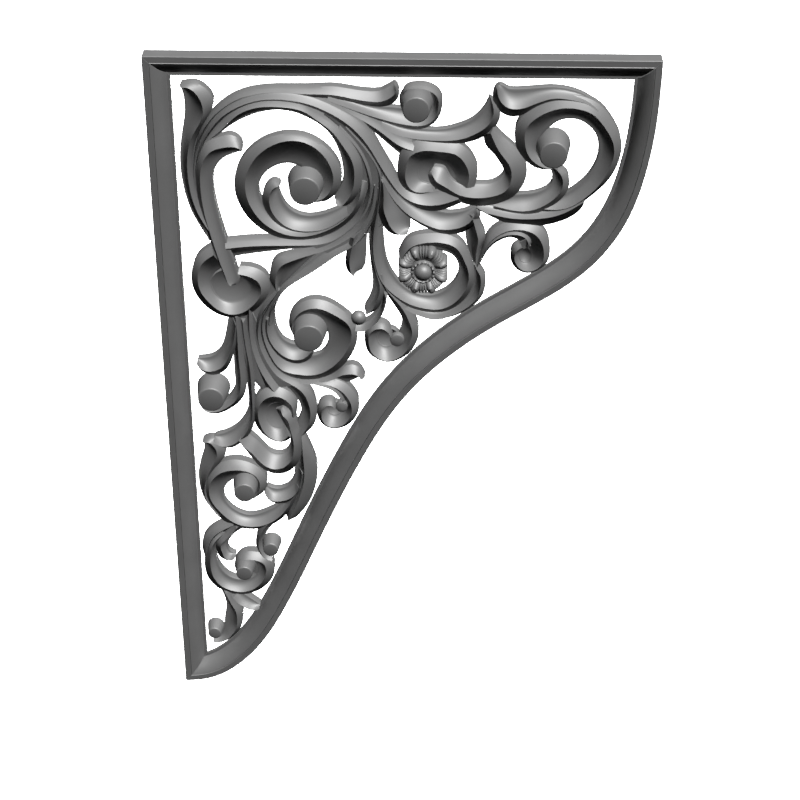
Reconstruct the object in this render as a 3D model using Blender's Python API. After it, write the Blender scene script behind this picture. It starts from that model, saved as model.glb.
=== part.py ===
"""Moulding corner piece: an openwork bracket for the corner between a post and a beam.

Three mitred lengths of ovolo moulding frame one carved panel of acanthus scrollwork.
The drawing is laid out in millimetres, with x to the right from the post face and "drop"
downwards from the beam face. Height is measured forwards from the flat back.
"""

import math

import bmesh
import bpy
import numpy as np

# Overall sizes, mm
WIDTH = 325.0
DROP = 495.0
RAIL_WIDTH = 16.0
RAIL_DEPTH = 12.0
JOINT_GAP = 0.3
LOW_MITRE = 1.19

# Carving heights above the flat back, mm
WALL = 7.0
RIDGE = 12.0
REED_VALLEY = 9.3
LINK_RIDGE = 14.5
BOWL_FLOOR = 4.0
WEB_HEIGHT = 5.9
KNOB_TAPER = 0.14
KNOB_BEVEL = 0.9

# How finely the curves are cut
SECTIONS_PER_POINT = 0.86
FLOOR_STEPS = 2
ROUND_SIDES = 12
RAIL_STEPS = 24

MM = 0.001

# Rail profile from the outer face inwards: flat band, fine quirk, ovolo, low fillet
RAIL_PROFILE = (
    (0, 0),
    (0, RAIL_DEPTH),
    (4.4, RAIL_DEPTH),
    (4.5, 11.6),
    (7.7, 10.3),
    (10.4, 8.3),
    (12.6, 5.2),
    (13.9, 2.4),
    (RAIL_WIDTH, 2.4),
    (RAIL_WIDTH, 0),
)

# Outer edge of the curved rail, from the top right corner to the bottom left one
CURVED_EDGE = (
    (WIDTH, 0),
    (323.7, 40),
    (318.9, 76),
    (307.8, 112),
    (285, 145.4),
    (255, 169.1),
    (225, 188.6),
    (195, 211.9),
    (165, 244.2),
    (135, 294.7),
    (105, 360.9),
    (75, 429.3),
    (45, 474.6),
    (15, 493.3),
    (0, DROP),
)

# Each strand is a list of cross-sections: the x and drop of its hollow edge, the x and drop
# of its chamfered edge, and how far the ridge lies inside the chamfered edge.
LEAVES = {
    "tall leaf": (
        (34, 128, 37, 117, 3),
        (25, 110, 32, 105, 3),
        (20, 88, 28.3, 88, 3),
        (19.4, 70, 28, 70, 3),
        (22, 52, 33, 53, 3.5),
        (24.3, 38, 41, 39, 4.5),
        (24.3, 30.5, 43, 30, 7),
        (23.8, 27, 38.5, 22.5, 6),
        (23, 24, 31, 18.8, 3.5),
        (22, 21.5, 23, 20, 0.8),
    ),
    "lower leaf": (
        (50, 140, 39, 137, 1.5),
        (47.5, 131, 35.5, 128.5, 2),
        (44, 118, 32.3, 117, 2.8),
        (41.5, 106, 30.3, 106, 3),
        (40.2, 90, 28.5, 90, 3.5),
        (41.5, 79, 29.5, 72, 4),
        (45.5, 72, 36, 60.5, 5.5),
        (51, 68, 46, 55.5, 6),
        (56, 66, 55, 54.7, 6),
        (58.8, 65.3, 60.3, 61, 2),
        (59.4, 65.5, 60.4, 64, 0.8),
    ),
    "inner reed lobe": (
        (38.5, 60, 36, 58.3, 0.7),
        (44, 56, 40.5, 52.5, 2),
        (50, 51, 46.5, 46, 3),
        (60, 44.4, 58, 36, 2.7),
        (72, 39.5, 71.5, 31, 2.4),
        (88, 38, 88, 30.6, 2.5),
        (100, 41.5, 101, 33.4, 2.5),
        (108, 46, 109, 38.8, 2.6),
        (115, 52, 120, 46, 3.5),
        (120, 60, 129, 57, 4.5),
        (123.5, 70.5, 136, 70, 5),
        (124.6, 80, 137.2, 80, 5),
        (123.5, 88, 136, 90, 5),
        (120.5, 94, 132, 98, 4.5),
        (118.8, 97, 125, 103.3, 3),
        (118.6, 98.4, 120, 100.6, 1),
    ),
    "upper wrap": (
        (116, 24.5, 116, 30, 2),
        (130, 30, 129, 35.8, 2.5),
        (141, 33.5, 140, 40.3, 3),
        (151, 34.5, 150, 44, 3.5),
        (160, 35, 160, 47, 4),
        (168, 36, 168.5, 49, 4.5),
        (175.5, 36, 177, 48.3, 4),
        (180.5, 33.5, 184.3, 43.4, 3.5),
        (181.5, 29, 187.9, 34, 3),
        (180, 25, 187.3, 26.5, 2.5),
        (176.5, 22.5, 182.3, 20.8, 2),
        (171, 21.5, 174, 18.4, 1),
    ),
    "leaf by the knob": (
        (150, 43.5, 150, 47.5, 1.2),
        (163, 48, 162, 53.8, 2),
        (177, 49.5, 177, 57.3, 3),
        (190, 49.2, 191, 58.7, 4),
        (200, 46.2, 203, 58, 5),
        (207.5, 42.5, 214.5, 53.8, 6),
        (212.5, 37.5, 222.5, 46, 5.5),
        (215.5, 33, 225, 38, 5),
        (217, 29.5, 223.3, 33, 3.5),
        (217.8, 27, 219.8, 28.5, 0.8),
    ),
    "slanting strand": (
        (128, 38.5, 126, 33, 1.8),
        (139, 47, 141, 40.5, 2.5),
        (150, 57, 151.5, 47.5, 3),
        (161, 67, 163, 55.5, 3.5),
        (167, 72, 171, 58.5, 3.5),
    ),
    "leaf under the upper cup": (
        (155, 87, 149.5, 82, 1.5),
        (163, 98.5, 156, 97.5, 2.5),
        (172, 103, 165.5, 109.5, 3),
        (180, 105, 177, 117.5, 4),
        (187, 107, 187, 122, 5),
        (194, 108, 198, 122.6, 6),
        (200, 107.3, 206.5, 119, 5.5),
        (204.5, 106, 212.5, 112, 4.5),
        (208.5, 104.2, 213.6, 107, 3),
        (210.3, 103.6, 212.3, 104.8, 0.8),
    ),
    "lobe over the rosette": (
        (154, 86, 149, 84, 1.5),
        (158, 94, 148, 95, 3),
        (163, 101.5, 147, 104, 4),
        (167.5, 109, 148.3, 112, 5),
        (168.3, 113, 151.5, 119, 5),
        (168.3, 116, 158, 123.7, 4),
        (168.3, 118.5, 165.5, 122.3, 1.5),
    ),
    "stem to the left cup": (
        (124, 46.5, 122, 48.3, 0.7),
        (138, 65, 135.3, 66, 1.3),
        (143.5, 80, 139.7, 80, 1.9),
        (144.2, 90, 140.7, 88, 1.9),
        (142.5, 100, 138.8, 97, 1.9),
        (138, 110.5, 133.5, 108.5, 2.2),
        (131, 119.5, 127, 116, 2.4),
        (122, 127.5, 117, 123.5, 2.8),
        (109, 133.3, 106, 126.5, 3),
        (93, 135.7, 91, 127, 3.2),
        (78, 137.6, 76, 127.2, 3.3),
        (63, 139.6, 61, 127.5, 3.4),
        (50, 142.3, 47.5, 129, 3.5),
        (43, 144, 42, 130.5, 3.5),
    ),
    "leaf below the stem": (
        (146.3, 88, 144.4, 88, 0.6),
        (144.8, 102, 142.3, 100.5, 1),
        (139.5, 115.5, 136, 113.7, 1.4),
        (131.5, 124.5, 127, 123, 2),
        (121, 132, 113, 132.5, 2),
        (105, 140, 98, 136.7, 2.5),
        (96, 148.5, 86, 139.3, 4),
        (90, 155, 78.5, 143, 5),
        (85.5, 159.7, 74.8, 152, 5),
        (82, 163, 75.5, 161, 3.5),
        (80.5, 165.5, 78.3, 165.6, 0.9),
    ),
    "lower trunk": (
        (146.2, 90, 147.7, 90, 0.6),
        (144.9, 104, 146.5, 105, 0.8),
        (139.5, 116.5, 142, 118, 1.3),
        (128, 127.5, 132.5, 131, 2),
        (112, 136.5, 120.5, 139, 2.6),
        (101, 145, 109.5, 147.5, 2.6),
        (91, 154.5, 97, 156, 2.4),
        (83.5, 162, 87.5, 162.8, 2),
        (77, 171, 81.5, 170, 2),
        (72, 181, 77.2, 181, 2.4),
        (69, 191, 76, 191, 2.6),
    ),
    "hanging lobe": (
        (140, 118, 129, 126, 3),
        (139.2, 133, 126.3, 135, 3),
        (138.8, 142, 125.2, 143, 3),
        (138, 147, 125.8, 148.7, 3),
        (136, 150.4, 127.8, 151.8, 2),
        (133.5, 152, 130.7, 152.8, 0.8),
    ),
    "inner leaf of the large scroll": (
        (126, 103, 128, 111, 3),
        (112, 109.5, 113, 120.5, 3),
        (102, 111.3, 101, 123, 3.5),
        (94, 109.5, 89, 121.5, 4),
        (88, 105, 78.5, 114.5, 4.5),
        (84.5, 99, 72.5, 104, 5),
        (83.2, 95, 71.8, 96.5, 5),
        (83, 92.5, 75, 89, 4),
        (83.5, 90, 79.5, 86, 3),
        (84, 88.8, 83.3, 87, 0.8),
    ),
    "outer leaf of the rosette": (
        (165, 175, 164, 178, 1.2),
        (174, 179, 174, 183.2, 1.8),
        (184, 181, 185, 186.3, 2.3),
        (194, 179, 196, 184.3, 3),
        (203, 172, 207, 178.3, 3.5),
        (208.5, 164, 215.5, 169, 3.5),
        (210.3, 156, 218.3, 158, 3.5),
        (210.3, 150, 217.3, 152, 3),
        (209.5, 146, 213.3, 145.8, 1.5),
    ),
    "leaf by the small ball": (
        (141, 118, 142.3, 122, 0.6),
        (140.8, 132, 143.5, 138, 1),
        (142.3, 150, 148, 152, 2),
        (143, 160, 151, 161, 3),
        (142, 168, 150, 169.5, 3.5),
        (139.5, 174.5, 147, 177, 3.5),
        (137.5, 178.5, 143.5, 181, 3),
        (137.3, 180.5, 139.3, 182, 1),
    ),
    "stem of the small ball": (
        (149, 166, 152.8, 168, 1.2),
        (147.5, 178, 151, 179, 1.5),
        (144, 184, 147.4, 187, 1.8),
        (139.5, 188, 142, 193, 2),
        (135.5, 189.5, 136, 196, 2),
        (132, 189, 131, 194.5, 1),
    ),
    "left leaf": (
        (46, 184, 52, 192, 2),
        (43.5, 197, 49.7, 208, 3),
        (41, 207.5, 47, 218, 4),
        (37.8, 214, 42.5, 227, 5),
        (33, 217.8, 36, 231.3, 5.5),
        (28, 219.2, 28.6, 231, 5),
        (25, 219.6, 24.3, 227.5, 4),
        (23.3, 219.8, 22.3, 222.3, 1),
    ),
    "stem of the left knob": (
        (47, 186, 53, 184, 2),
        (47, 200, 53.5, 198, 2),
        (47.5, 218, 54.8, 218, 3),
        (47.7, 232, 55.9, 233, 3.5),
        (47, 243, 54.6, 245.5, 4),
        (43, 250, 50, 253.3, 4),
        (38, 253, 42, 259.8, 4),
        (32, 254, 33, 263, 4),
        (28, 253.5, 27, 261.7, 3.5),
        (26, 251.5, 23.3, 257, 2),
    ),
    "leaf under the left knob": (
        (52, 188, 57, 188, 1.2),
        (53.5, 205, 58.5, 206, 1.5),
        (55, 222, 60.7, 224, 1.6),
        (55.8, 238, 61.3, 240, 1.7),
        (56.5, 250, 61, 256, 2),
        (55, 261.5, 60.3, 268, 3),
        (51, 269.5, 56.8, 278, 4),
        (45.5, 275.3, 50, 286.3, 4.5),
        (39.5, 279, 43.5, 290.5, 5),
        (35, 280.6, 37.3, 290.3, 4.5),
        (32.3, 281.6, 33, 287, 3),
        (31.2, 282.3, 30.8, 284.3, 0.8),
    ),
    "flute to the lower cup": (
        (58, 176, 62, 176, 1.5),
        (56.5, 190, 62, 190, 2),
        (58, 205, 63, 204, 2.3),
        (60.5, 220, 66.5, 219, 2.5),
        (64, 235, 73, 233, 3),
        (66.5, 246, 78, 241, 3),
    ),
    "flute round the lower cup": (
        (79, 163.5, 81, 165.5, 1),
        (73.5, 168.5, 77.3, 171.5, 1.6),
        (67.5, 176.5, 72, 180, 2.2),
        (63, 188, 69.3, 189, 2.8),
        (62.3, 202, 68.8, 203.5, 3),
        (66, 215.5, 73, 218, 3),
        (72, 228, 80, 229, 3),
        (79.5, 238.5, 90, 234.7, 3.5),
        (86, 244.5, 98.5, 241.5, 4),
        (90.5, 251.5, 103, 252, 4.5),
        (92.6, 258.5, 103.8, 262, 4.5),
        (91.5, 265, 100.5, 272, 4),
        (89.5, 270, 93, 280, 2),
    ),
    "inner leaf of the middle scroll": (
        (77, 184, 70.5, 187, 2),
        (78, 196, 69.8, 200, 3),
        (81, 202.5, 73.5, 210, 4),
        (85, 206, 81, 218.5, 5),
        (90, 207.8, 90, 222, 5.5),
        (95, 208, 97.5, 220, 5),
        (99, 208.3, 102, 214.5, 3.5),
        (101.5, 208.4, 102.8, 210, 0.8),
    ),
    "leaf by the right cup": (
        (106, 236, 106, 233, 1.5),
        (115, 236, 116.5, 229, 2.5),
        (120.5, 236.9, 122, 224.3, 4),
        (126, 237, 128.5, 222.3, 5),
        (130.5, 234.8, 133.5, 224.6, 4),
        (134, 232.9, 136.2, 228.7, 3),
        (136.7, 232.2, 137.3, 231.4, 0.6),
    ),
    "left leaf of the fourth scroll": (
        (31, 349, 33, 346, 1.5),
        (22, 337, 26, 334, 1.8),
        (18.5, 322, 25, 322, 2),
        (19, 309, 29.5, 310, 3),
        (21.5, 300, 36, 301, 5),
        (23.5, 292.5, 39, 292, 6),
        (23.7, 289.5, 36, 286.5, 5),
        (23.2, 288, 30, 282.5, 3),
        (22.5, 286.5, 23.7, 284.3, 1),
    ),
    "right leaf of the fourth scroll": (
        (89, 272, 93, 276, 1.5),
        (90.5, 285, 97, 285, 4),
        (90, 296, 101.5, 298, 8),
        (87, 306, 103, 308, 9),
        (86, 315, 102.3, 317, 9),
        (83, 324, 99.5, 328, 9),
        (80, 334, 95.5, 337, 8),
        (78.5, 341.5, 90, 345, 6),
        (79, 346, 84.5, 349.8, 3),
        (79.5, 348.5, 81.5, 349.8, 0.8),
    ),
    "inner leaf of the fourth scroll": (
        (88, 305, 94, 310, 2),
        (86.5, 313.5, 92, 322, 3),
        (83.5, 320.5, 89.5, 329, 4),
        (79, 324.3, 84, 334.8, 5),
        (74.5, 325.5, 77, 336.9, 5),
        (71, 325, 70, 336, 4.5),
        (68.5, 324, 65.8, 331, 3),
        (67, 323, 64.8, 326.5, 1),
    ),
    "upper leaf of the lowest scroll": (
        (46, 358, 40, 352.5, 1.5),
        (38, 363, 31, 356, 3),
        (32, 368, 24, 361, 4),
        (27.5, 373, 19.3, 368, 5),
        (24.3, 377.5, 18, 375.5, 4),
        (21.5, 382, 19, 381.3, 1),
    ),
    "inner leaf of the lowest scroll": (
        (48, 360, 43, 355, 1.5),
        (40, 367, 34, 364, 3),
        (36.8, 373, 28.3, 371, 4),
        (36.4, 377, 28.5, 379.5, 5),
        (37.7, 379.8, 32, 385.7, 4.5),
        (39.2, 381, 37, 387.3, 3.5),
        (40.6, 381.8, 40.8, 385.5, 2),
        (41.7, 382.3, 42.1, 383.6, 0.6),
    ),
    "stem of the lowest knob": (
        (74, 350, 63, 354, 3),
        (67, 359, 58, 364, 3.5),
        (64, 365, 57, 372, 3.5),
        (64, 371, 59, 379.5, 3.5),
        (66, 375, 63.5, 385.5, 3.5),
        (69, 377.5, 68.5, 386, 2),
    ),
    "stem of the bottom ball": (
        (29, 411, 37, 415, 4),
        (32.5, 422, 41, 424.5, 3.5),
        (33, 430, 44.7, 432, 4),
        (31.8, 436, 45, 439, 4),
        (31, 443, 43.5, 446.5, 3.5),
        (30, 448, 39, 454, 3.5),
        (28.5, 452.5, 33, 459.3, 3),
        (26, 455, 26.5, 461.5, 2.6),
        (23, 456.3, 22, 459.5, 1),
    ),
    "lowest leaf": (
        (44, 416, 37, 418, 2),
        (48.5, 418.5, 41.5, 425.5, 3),
        (51.5, 421, 46, 429.5, 4),
        (54.5, 423.5, 51.5, 431.5, 3.5),
        (57, 425.6, 56, 430, 2),
        (58.4, 426.8, 58.8, 428, 0.6),
    ),
    "top leaf of the right scroll": (
        (290, 34.5, 285, 34, 1.2),
        (281, 27, 278, 30.5, 2),
        (271, 22.3, 268, 29, 3),
        (260, 20.3, 258, 29.3, 4),
        (248, 20.8, 246, 34, 5),
        (239, 21.6, 238, 38.8, 6.5),
        (232.5, 21.8, 229, 39, 7),
        (229, 21, 222, 33, 6),
        (226.5, 19.5, 220, 25.5, 4),
        (224.3, 18.6, 221.8, 20.2, 0.8),
    ),
    "inner leaf of the right scroll": (
        (222, 98, 222, 104, 2),
        (236, 94.5, 238, 107.5, 4),
        (246, 93.6, 250, 107, 5),
        (254, 91, 261, 101, 5),
        (258.5, 87, 268.5, 93, 5),
        (259.6, 82.5, 270.6, 85, 4.5),
        (259, 79, 268.5, 77.7, 3.5),
        (258.3, 76.7, 263, 74, 1),
    ),
    "under leaf of the right scroll": (
        (212, 99, 211, 104.5, 1.2),
        (222, 101, 221, 110, 4),
        (235, 103, 234, 115.2, 6.5),
        (248, 104, 249, 116.4, 7.5),
        (259, 102, 262, 114, 7),
        (268, 97, 273, 109, 6.5),
        (274, 93, 279.5, 102.5, 4.5),
        (279, 92, 281.3, 97, 1.2),
    ),
    "inner stem of the hooked cup": (
        (214.5, 144, 213, 142.5, 0.6),
        (219, 134.5, 216.5, 132, 1.2),
        (225.5, 126.7, 223.3, 123.2, 1.6),
        (232.5, 123.2, 232, 119, 1.8),
        (238.5, 123.5, 240, 119, 2),
        (241.8, 126, 245.5, 122.3, 2),
        (242.5, 129, 247.5, 128, 2),
        (242.8, 130.8, 245.5, 132, 1),
    ),
    "inner stem of the right cup": (
        (97, 236.8, 97.5, 234.8, 0.6),
        (106, 239.3, 107, 237.2, 1),
        (113.3, 242.3, 115, 239.5, 1.2),
        (118.3, 247, 120.8, 244.5, 1.4),
        (120, 252, 123.3, 250.8, 1.5),
        (119.8, 255.8, 123.3, 257.3, 1.5),
    ),
    "small leaf": (
        (203, 110, 211, 106, 3),
        (203.7, 119, 215, 117, 4),
        (204.7, 128, 217.3, 124, 5),
        (207, 136, 215, 132, 4),
        (209.8, 144, 213.2, 144, 1.5),
    ),
}

# Low backing between the strands of the trunk, of the flutes and of the lowest scroll
WEBS = {
    "trunk web": (
        (124.4, 52, 135.6, 50, 1),
        (134.5, 64, 143, 66, 1),
        (138.5, 80, 150.5, 80, 1),
        (139.5, 90, 152, 91, 1),
        (136, 101, 151, 104, 1),
        (130, 111, 150, 116, 1),
        (122, 119, 144, 121, 1),
        (112, 127.5, 131, 131, 1),
        (100, 133, 117, 140, 1),
    ),
    "flute web": (
        (49, 186, 62, 182, 1),
        (51.5, 205, 70, 205, 1),
        (55.5, 222, 77, 222, 1),
        (60, 235, 84, 231, 1),
        (66, 244, 88, 240, 1),
    ),
    "lowest web": (
        (52, 381, 62, 383, 1),
        (52, 391, 63, 391, 1),
        (51, 398, 61, 400, 1),
    ),
}

# Curls round a bowl: the hollow edge drops to the floor of the bowl.
CUPS = {
    "left cup": (
        (43, 151, 37, 133, 5),
        (38.5, 154, 27.5, 140.5, 5),
        (36, 158.5, 22.8, 152, 5),
        (35.5, 164, 22.7, 163.5, 5.5),
        (37.5, 170, 27.5, 174.5, 6),
        (42, 174.5, 36.5, 183.2, 5.5),
        (48, 176, 47.5, 187, 5),
        (54.5, 174.5, 58.5, 184.8, 5),
        (59, 170.5, 68.5, 176.3, 5),
        (60.5, 166, 74.3, 165.5, 5.5),
        (59.5, 161.5, 73, 155.5, 6),
        (56.5, 158.5, 66, 149.5, 6),
        (52.5, 156.5, 55, 147.7, 4),
    ),
    "upper cup": (
        (181, 88, 184, 91, 1.5),
        (178, 87, 178, 93.8, 3),
        (175, 85, 167, 92.5, 4),
        (173.5, 81, 160.2, 83, 5),
        (174, 77, 160, 73, 5.5),
        (176.5, 73.5, 164, 61.5, 6),
        (181, 71.5, 175, 56.2, 6),
        (186.5, 71.5, 189, 56.5, 6),
        (191.5, 74, 200, 59, 6),
        (195, 78, 208, 67, 6),
        (196.5, 82, 211.5, 77, 6),
        (196, 86, 209.5, 88.5, 5),
    ),
    "middle cup": (
        (145.5, 148, 150, 152, 1.5),
        (147.5, 158, 154, 163, 2),
        (151, 167, 160.5, 170.5, 2.5),
        (156, 175.5, 167, 178, 3.5),
        (161, 184, 171.5, 185.5, 4.5),
        (162.5, 190.5, 174, 196, 5),
        (161, 197, 172.5, 204, 5),
        (158.5, 203, 168, 212, 4),
        (156, 207, 161, 217.5, 3.5),
        (152, 209, 153, 220, 3.5),
        (148.5, 208, 145.5, 217.7, 3.5),
        (146.5, 205, 139.5, 212, 3.5),
        (146, 202, 137.3, 203, 3),
        (147, 199, 138.3, 194.5, 3),
        (148.5, 197.5, 143, 190, 3),
        (151, 198, 149.5, 189, 3),
        (153, 199.5, 154.5, 193, 2.5),
        (154, 200.5, 156.3, 198.5, 1),
    ),
    "lower cup": (
        (80.5, 272, 85.5, 281, 4),
        (78, 274.5, 80.5, 285, 4),
        (74, 274.5, 73, 284.5, 4),
        (70.5, 271.5, 64.5, 277.8, 4),
        (68.8, 266, 59.5, 266, 4.3),
        (69.3, 260.5, 60.7, 252, 4.5),
        (71.5, 257, 66.5, 243.5, 5),
        (75.5, 255.5, 76, 240.7, 5),
        (79, 256.5, 84, 243.5, 5),
        (82, 260, 90, 252, 4),
        (83, 264, 89.5, 262, 2),
    ),
    "right cup": (
        (93, 238, 92, 234.5, 1),
        (101, 239, 102, 234, 1.5),
        (109, 242, 112, 233, 3),
        (115.5, 246, 123, 236.5, 4.5),
        (119, 250.5, 130, 244, 5),
        (121, 255, 133, 253, 5),
        (121, 260, 131, 263, 4.5),
        (118.5, 263, 125, 270.5, 4),
        (115.5, 264, 117, 273.7, 4),
        (113, 263, 110, 272.5, 4),
        (111.5, 261, 105.3, 267, 3.5),
        (111, 258.5, 103.8, 259.5, 3.5),
        (111.5, 256.5, 106, 253, 3),
        (113, 255.5, 110.5, 250.2, 2.5),
        (114.5, 256, 115, 251, 2),
        (115.3, 257, 117.2, 254.5, 1),
    ),
    "hooked cup": (
        (213.5, 148, 211.5, 144, 1.2),
        (217.5, 139, 215.5, 131, 3),
        (221.5, 133, 219, 122.5, 4),
        (227, 128.5, 225, 116.5, 4.5),
        (233, 126.3, 233, 113, 4.5),
        (238, 127.5, 243, 112.8, 4.5),
        (242.5, 131, 252.5, 116.2, 5),
        (246, 135, 258, 123.5, 5),
        (247.5, 138, 260, 133, 4.5),
        (247.5, 141, 258.8, 141.5, 4),
        (246, 143.5, 254.5, 147.3, 4),
        (243.5, 144, 246, 150.8, 4),
        (241.5, 143, 238.5, 148, 3.5),
        (240.5, 140.5, 234.7, 142, 3),
        (240.5, 137.5, 234.3, 135, 2.5),
        (241.5, 135.5, 237, 130.5, 2),
        (242.5, 134.5, 240.3, 129.3, 1),
    ),
}

# Volutes that wind round a knob
SCROLLS = {
    "right scroll": (
        (243, 97, 247, 105, 3),
        (256, 97, 263, 105.5, 3),
        (266, 94.5, 275, 102, 3.5),
        (275, 88.5, 287.5, 92, 4),
        (281, 82.5, 294, 85, 4.5),
        (285.5, 75, 299.3, 76, 5),
        (288, 67, 302.5, 64.5, 5),
        (287.5, 56, 301.5, 52, 5.5),
        (283.5, 48.5, 295.5, 40.5, 6),
        (277, 43.5, 286, 30, 6.5),
        (270, 41.8, 272, 25, 7),
        (263, 43, 258, 27, 6),
        (257.5, 47, 245, 34, 5.5),
        (252, 53, 236.5, 43, 6),
        (250, 59, 234.5, 52, 7),
        (250, 64, 236.5, 62.5, 6.5),
        (252.5, 67.5, 243, 71, 5),
        (256, 69, 250.5, 75.5, 4),
        (259, 69, 258, 76.2, 2),
    ),
    "rosette scroll": (
        (129.3, 46.2, 126.6, 47, 0.6),
        (142.8, 65, 140.8, 65.6, 0.8),
        (150, 80, 147.3, 80.5, 1.2),
        (149.8, 91, 147.2, 91, 1.3),
        (149, 103, 145.3, 103.5, 1.8),
        (149.6, 112, 143, 114, 2.4),
        (150.3, 122, 141.3, 127, 3),
        (151.5, 137, 142, 142, 3),
        (155, 150, 147, 158.5, 3.5),
        (161, 159.5, 155, 168.5, 4),
        (168.5, 166, 165, 176, 4.5),
        (178, 169, 176.5, 180.3, 5),
        (188, 167, 190.5, 180.5, 5),
        (195, 161.5, 202, 173.5, 5),
        (199.3, 154, 209.5, 161, 4.5),
        (200, 147, 210.6, 150, 4),
        (197.5, 141, 208, 140, 4),
        (192, 137, 202, 128.5, 4),
        (184, 135, 191, 122.8, 4.5),
        (177, 134.5, 178, 122.5, 4.5),
        (171, 138, 166.5, 126.5, 4.5),
        (168, 144, 160.3, 137, 3),
    ),
    "middle scroll": (
        (80, 168, 74, 172, 1.8),
        (76.5, 184, 67.5, 186, 2),
        (78, 198, 67, 201, 2.5),
        (83, 207, 71.5, 216, 3),
        (88.5, 212.5, 79, 228, 4),
        (96, 216, 91, 233.8, 6),
        (103.5, 216, 104, 234, 6),
        (109, 213, 116.5, 228.3, 6),
        (112, 207, 126.5, 217.5, 5.5),
        (112.5, 200, 132, 204, 4.5),
        (110, 193, 131, 190, 3.5),
        (106, 188, 122.5, 180.2, 4.5),
        (100, 185, 108, 172.5, 5),
        (94.5, 187, 95, 175, 5),
        (92, 192, 87.5, 184, 4),
        (92, 197, 86.3, 192, 3.5),
        (93, 200, 89.5, 201, 2),
    ),
    "fourth scroll": (
        (84, 320, 93, 320, 3),
        (79.5, 331, 88.5, 332, 4),
        (74.5, 339, 82, 343.5, 4),
        (68, 343.5, 73, 353, 4.5),
        (60.5, 347, 62, 358.5, 5),
        (53, 348.3, 50, 359.3, 5.5),
        (45, 345.5, 38, 355, 6),
        (38.5, 339.5, 28.5, 345.5, 6),
        (35.5, 332, 22, 331, 5),
        (36.5, 325.5, 24, 315, 4.5),
        (39.5, 321, 33, 304.5, 5),
        (45, 317, 44, 300.5, 6),
        (50, 316, 54, 302.3, 5),
        (54.5, 317, 63, 308.3, 4.5),
        (56.5, 320, 67, 316, 5),
        (56.5, 323, 66, 323.5, 4.5),
        (55, 326, 62, 329.5, 3),
        (54, 327, 58, 331.5, 1),
    ),
    "lowest scroll": (
        (38, 366, 33, 362.5, 2),
        (31, 372, 24.5, 369, 3),
        (28, 379, 20.5, 378.5, 4),
        (28, 387, 19, 389, 5),
        (31, 395, 20.8, 402.5, 6),
        (35.5, 400.5, 27.5, 411.8, 6),
        (41, 403.5, 37, 416.7, 6),
        (46.5, 404, 48, 417.3, 5.5),
        (52, 402.5, 58.5, 413, 5.5),
        (56.5, 399, 66, 405.5, 6),
        (58, 394, 70, 394.5, 6),
        (56.5, 389.5, 67.5, 384.5, 5.5),
        (52, 387, 59, 379.8, 5),
        (48.5, 387.5, 50, 379.3, 4),
        (46, 390, 43.5, 383.5, 3),
        (45.5, 393, 40.7, 391, 2),
        (46, 396, 42.5, 399, 1),
    ),
}

# The largest volute, laid out round its centre: the radii of its hollow and chamfered
# edges and its chamfer width at every eighth of a turn, starting at the bottom.
LARGE_STEM = ((133, 84, 140, 86, 3), (130, 96, 138.3, 97, 3.5), (122.5, 107, 131, 111, 4))
LARGE_STEM += ((111, 113.5, 117, 122.5, 4.5),)
LARGE_CENTRE = (100.0, 86.0)
LARGE_TURNS = (
    (32, 42.5, 5),
    (32.5, 46, 6.5),
    (29, 46, 7.5),
    (16.5, 39.2, 5),
    (8, 32, 3),
    (8, 26.3, 4.5),
    (8, 23.5, 5.3),
    (8, 19.3, 4),
    (8, 14.5, 2.5),
)

# Ridge heights that differ from the usual, and the share of a strand over which its ridge rises
RIDGE_TOPS = {
    "large scroll": 11.5,
    "leaf under the left knob": 13,
    "left leaf of the fourth scroll": 11,
    "upper leaf of the lowest scroll": 12.5,
    "inner leaf of the large scroll": 12.3,
    "rosette scroll": 12.4,
}
RIDGE_RISE = {
    "right scroll": 0.14,
    "lower leaf": 0.3,
    "neck of the left cup": 0.5,
    "lowest scroll": 0.12,
    "right leaf of the fourth scroll": 0.2,
    "large scroll": 0.1,
    "under leaf of the right scroll": 0.1,
    "inner leaf of the right scroll": 0.2,
    "lower link": 0.05,
}

# Strands of the arch: V-shaped reeds side by side
REEDS = {
    "outer reed": (
        (29.3, 100, 28.6, 100, 0.3),
        (28.8, 85, 27.8, 85, 0.4),
        (30.4, 70, 28.8, 69.3, 0.7),
        (35.2, 55.5, 32.8, 53.5, 1.3),
        (41.5, 44.5, 38.8, 42.3, 1.8),
        (50, 36, 48, 32.7, 2),
        (60, 30, 59, 25.9, 2),
        (72, 26, 72, 22.3, 2),
        (88, 25, 88, 21.2, 2.2),
        (105, 28, 105, 21, 3),
        (120, 29, 120, 20.5, 4),
        (132, 31.5, 132, 22.3, 4.5),
        (142, 33.6, 142, 23.5, 5),
        (151, 34, 149, 23, 5.5),
        (158, 31, 153, 21, 5.5),
        (161, 25, 156, 19.3, 4),
        (160, 20, 158, 18, 1.2),
    ),
    "middle reed": (
        (29.3, 100, 30, 100, 0.3),
        (28.9, 85, 29.7, 85, 0.4),
        (30.3, 70.5, 31.8, 71.5, 0.8),
        (35, 56, 37.2, 58, 1.4),
        (41.3, 45, 44, 48.3, 2.2),
        (50.3, 35.8, 52.3, 40.3, 2.6),
        (60, 29.8, 61, 35.2, 2.7),
        (72, 25.8, 72, 31.5, 2.8),
        (88, 24.6, 88, 31, 3),
        (105, 27, 104, 34.5, 3.5),
        (120, 33.3, 119, 42, 4),
        (130, 38.8, 129, 50, 5),
        (140, 46.8, 139, 61, 5),
        (150, 64, 149, 77.8, 4.5),
        (157, 77, 155, 88, 4),
        (161, 85, 161, 95.5, 4),
        (167, 91, 169, 102, 5),
        (176, 93, 178, 105.8, 6),
        (188, 91, 190, 105, 6),
        (197, 88, 201, 100, 5),
    ),
}

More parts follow.
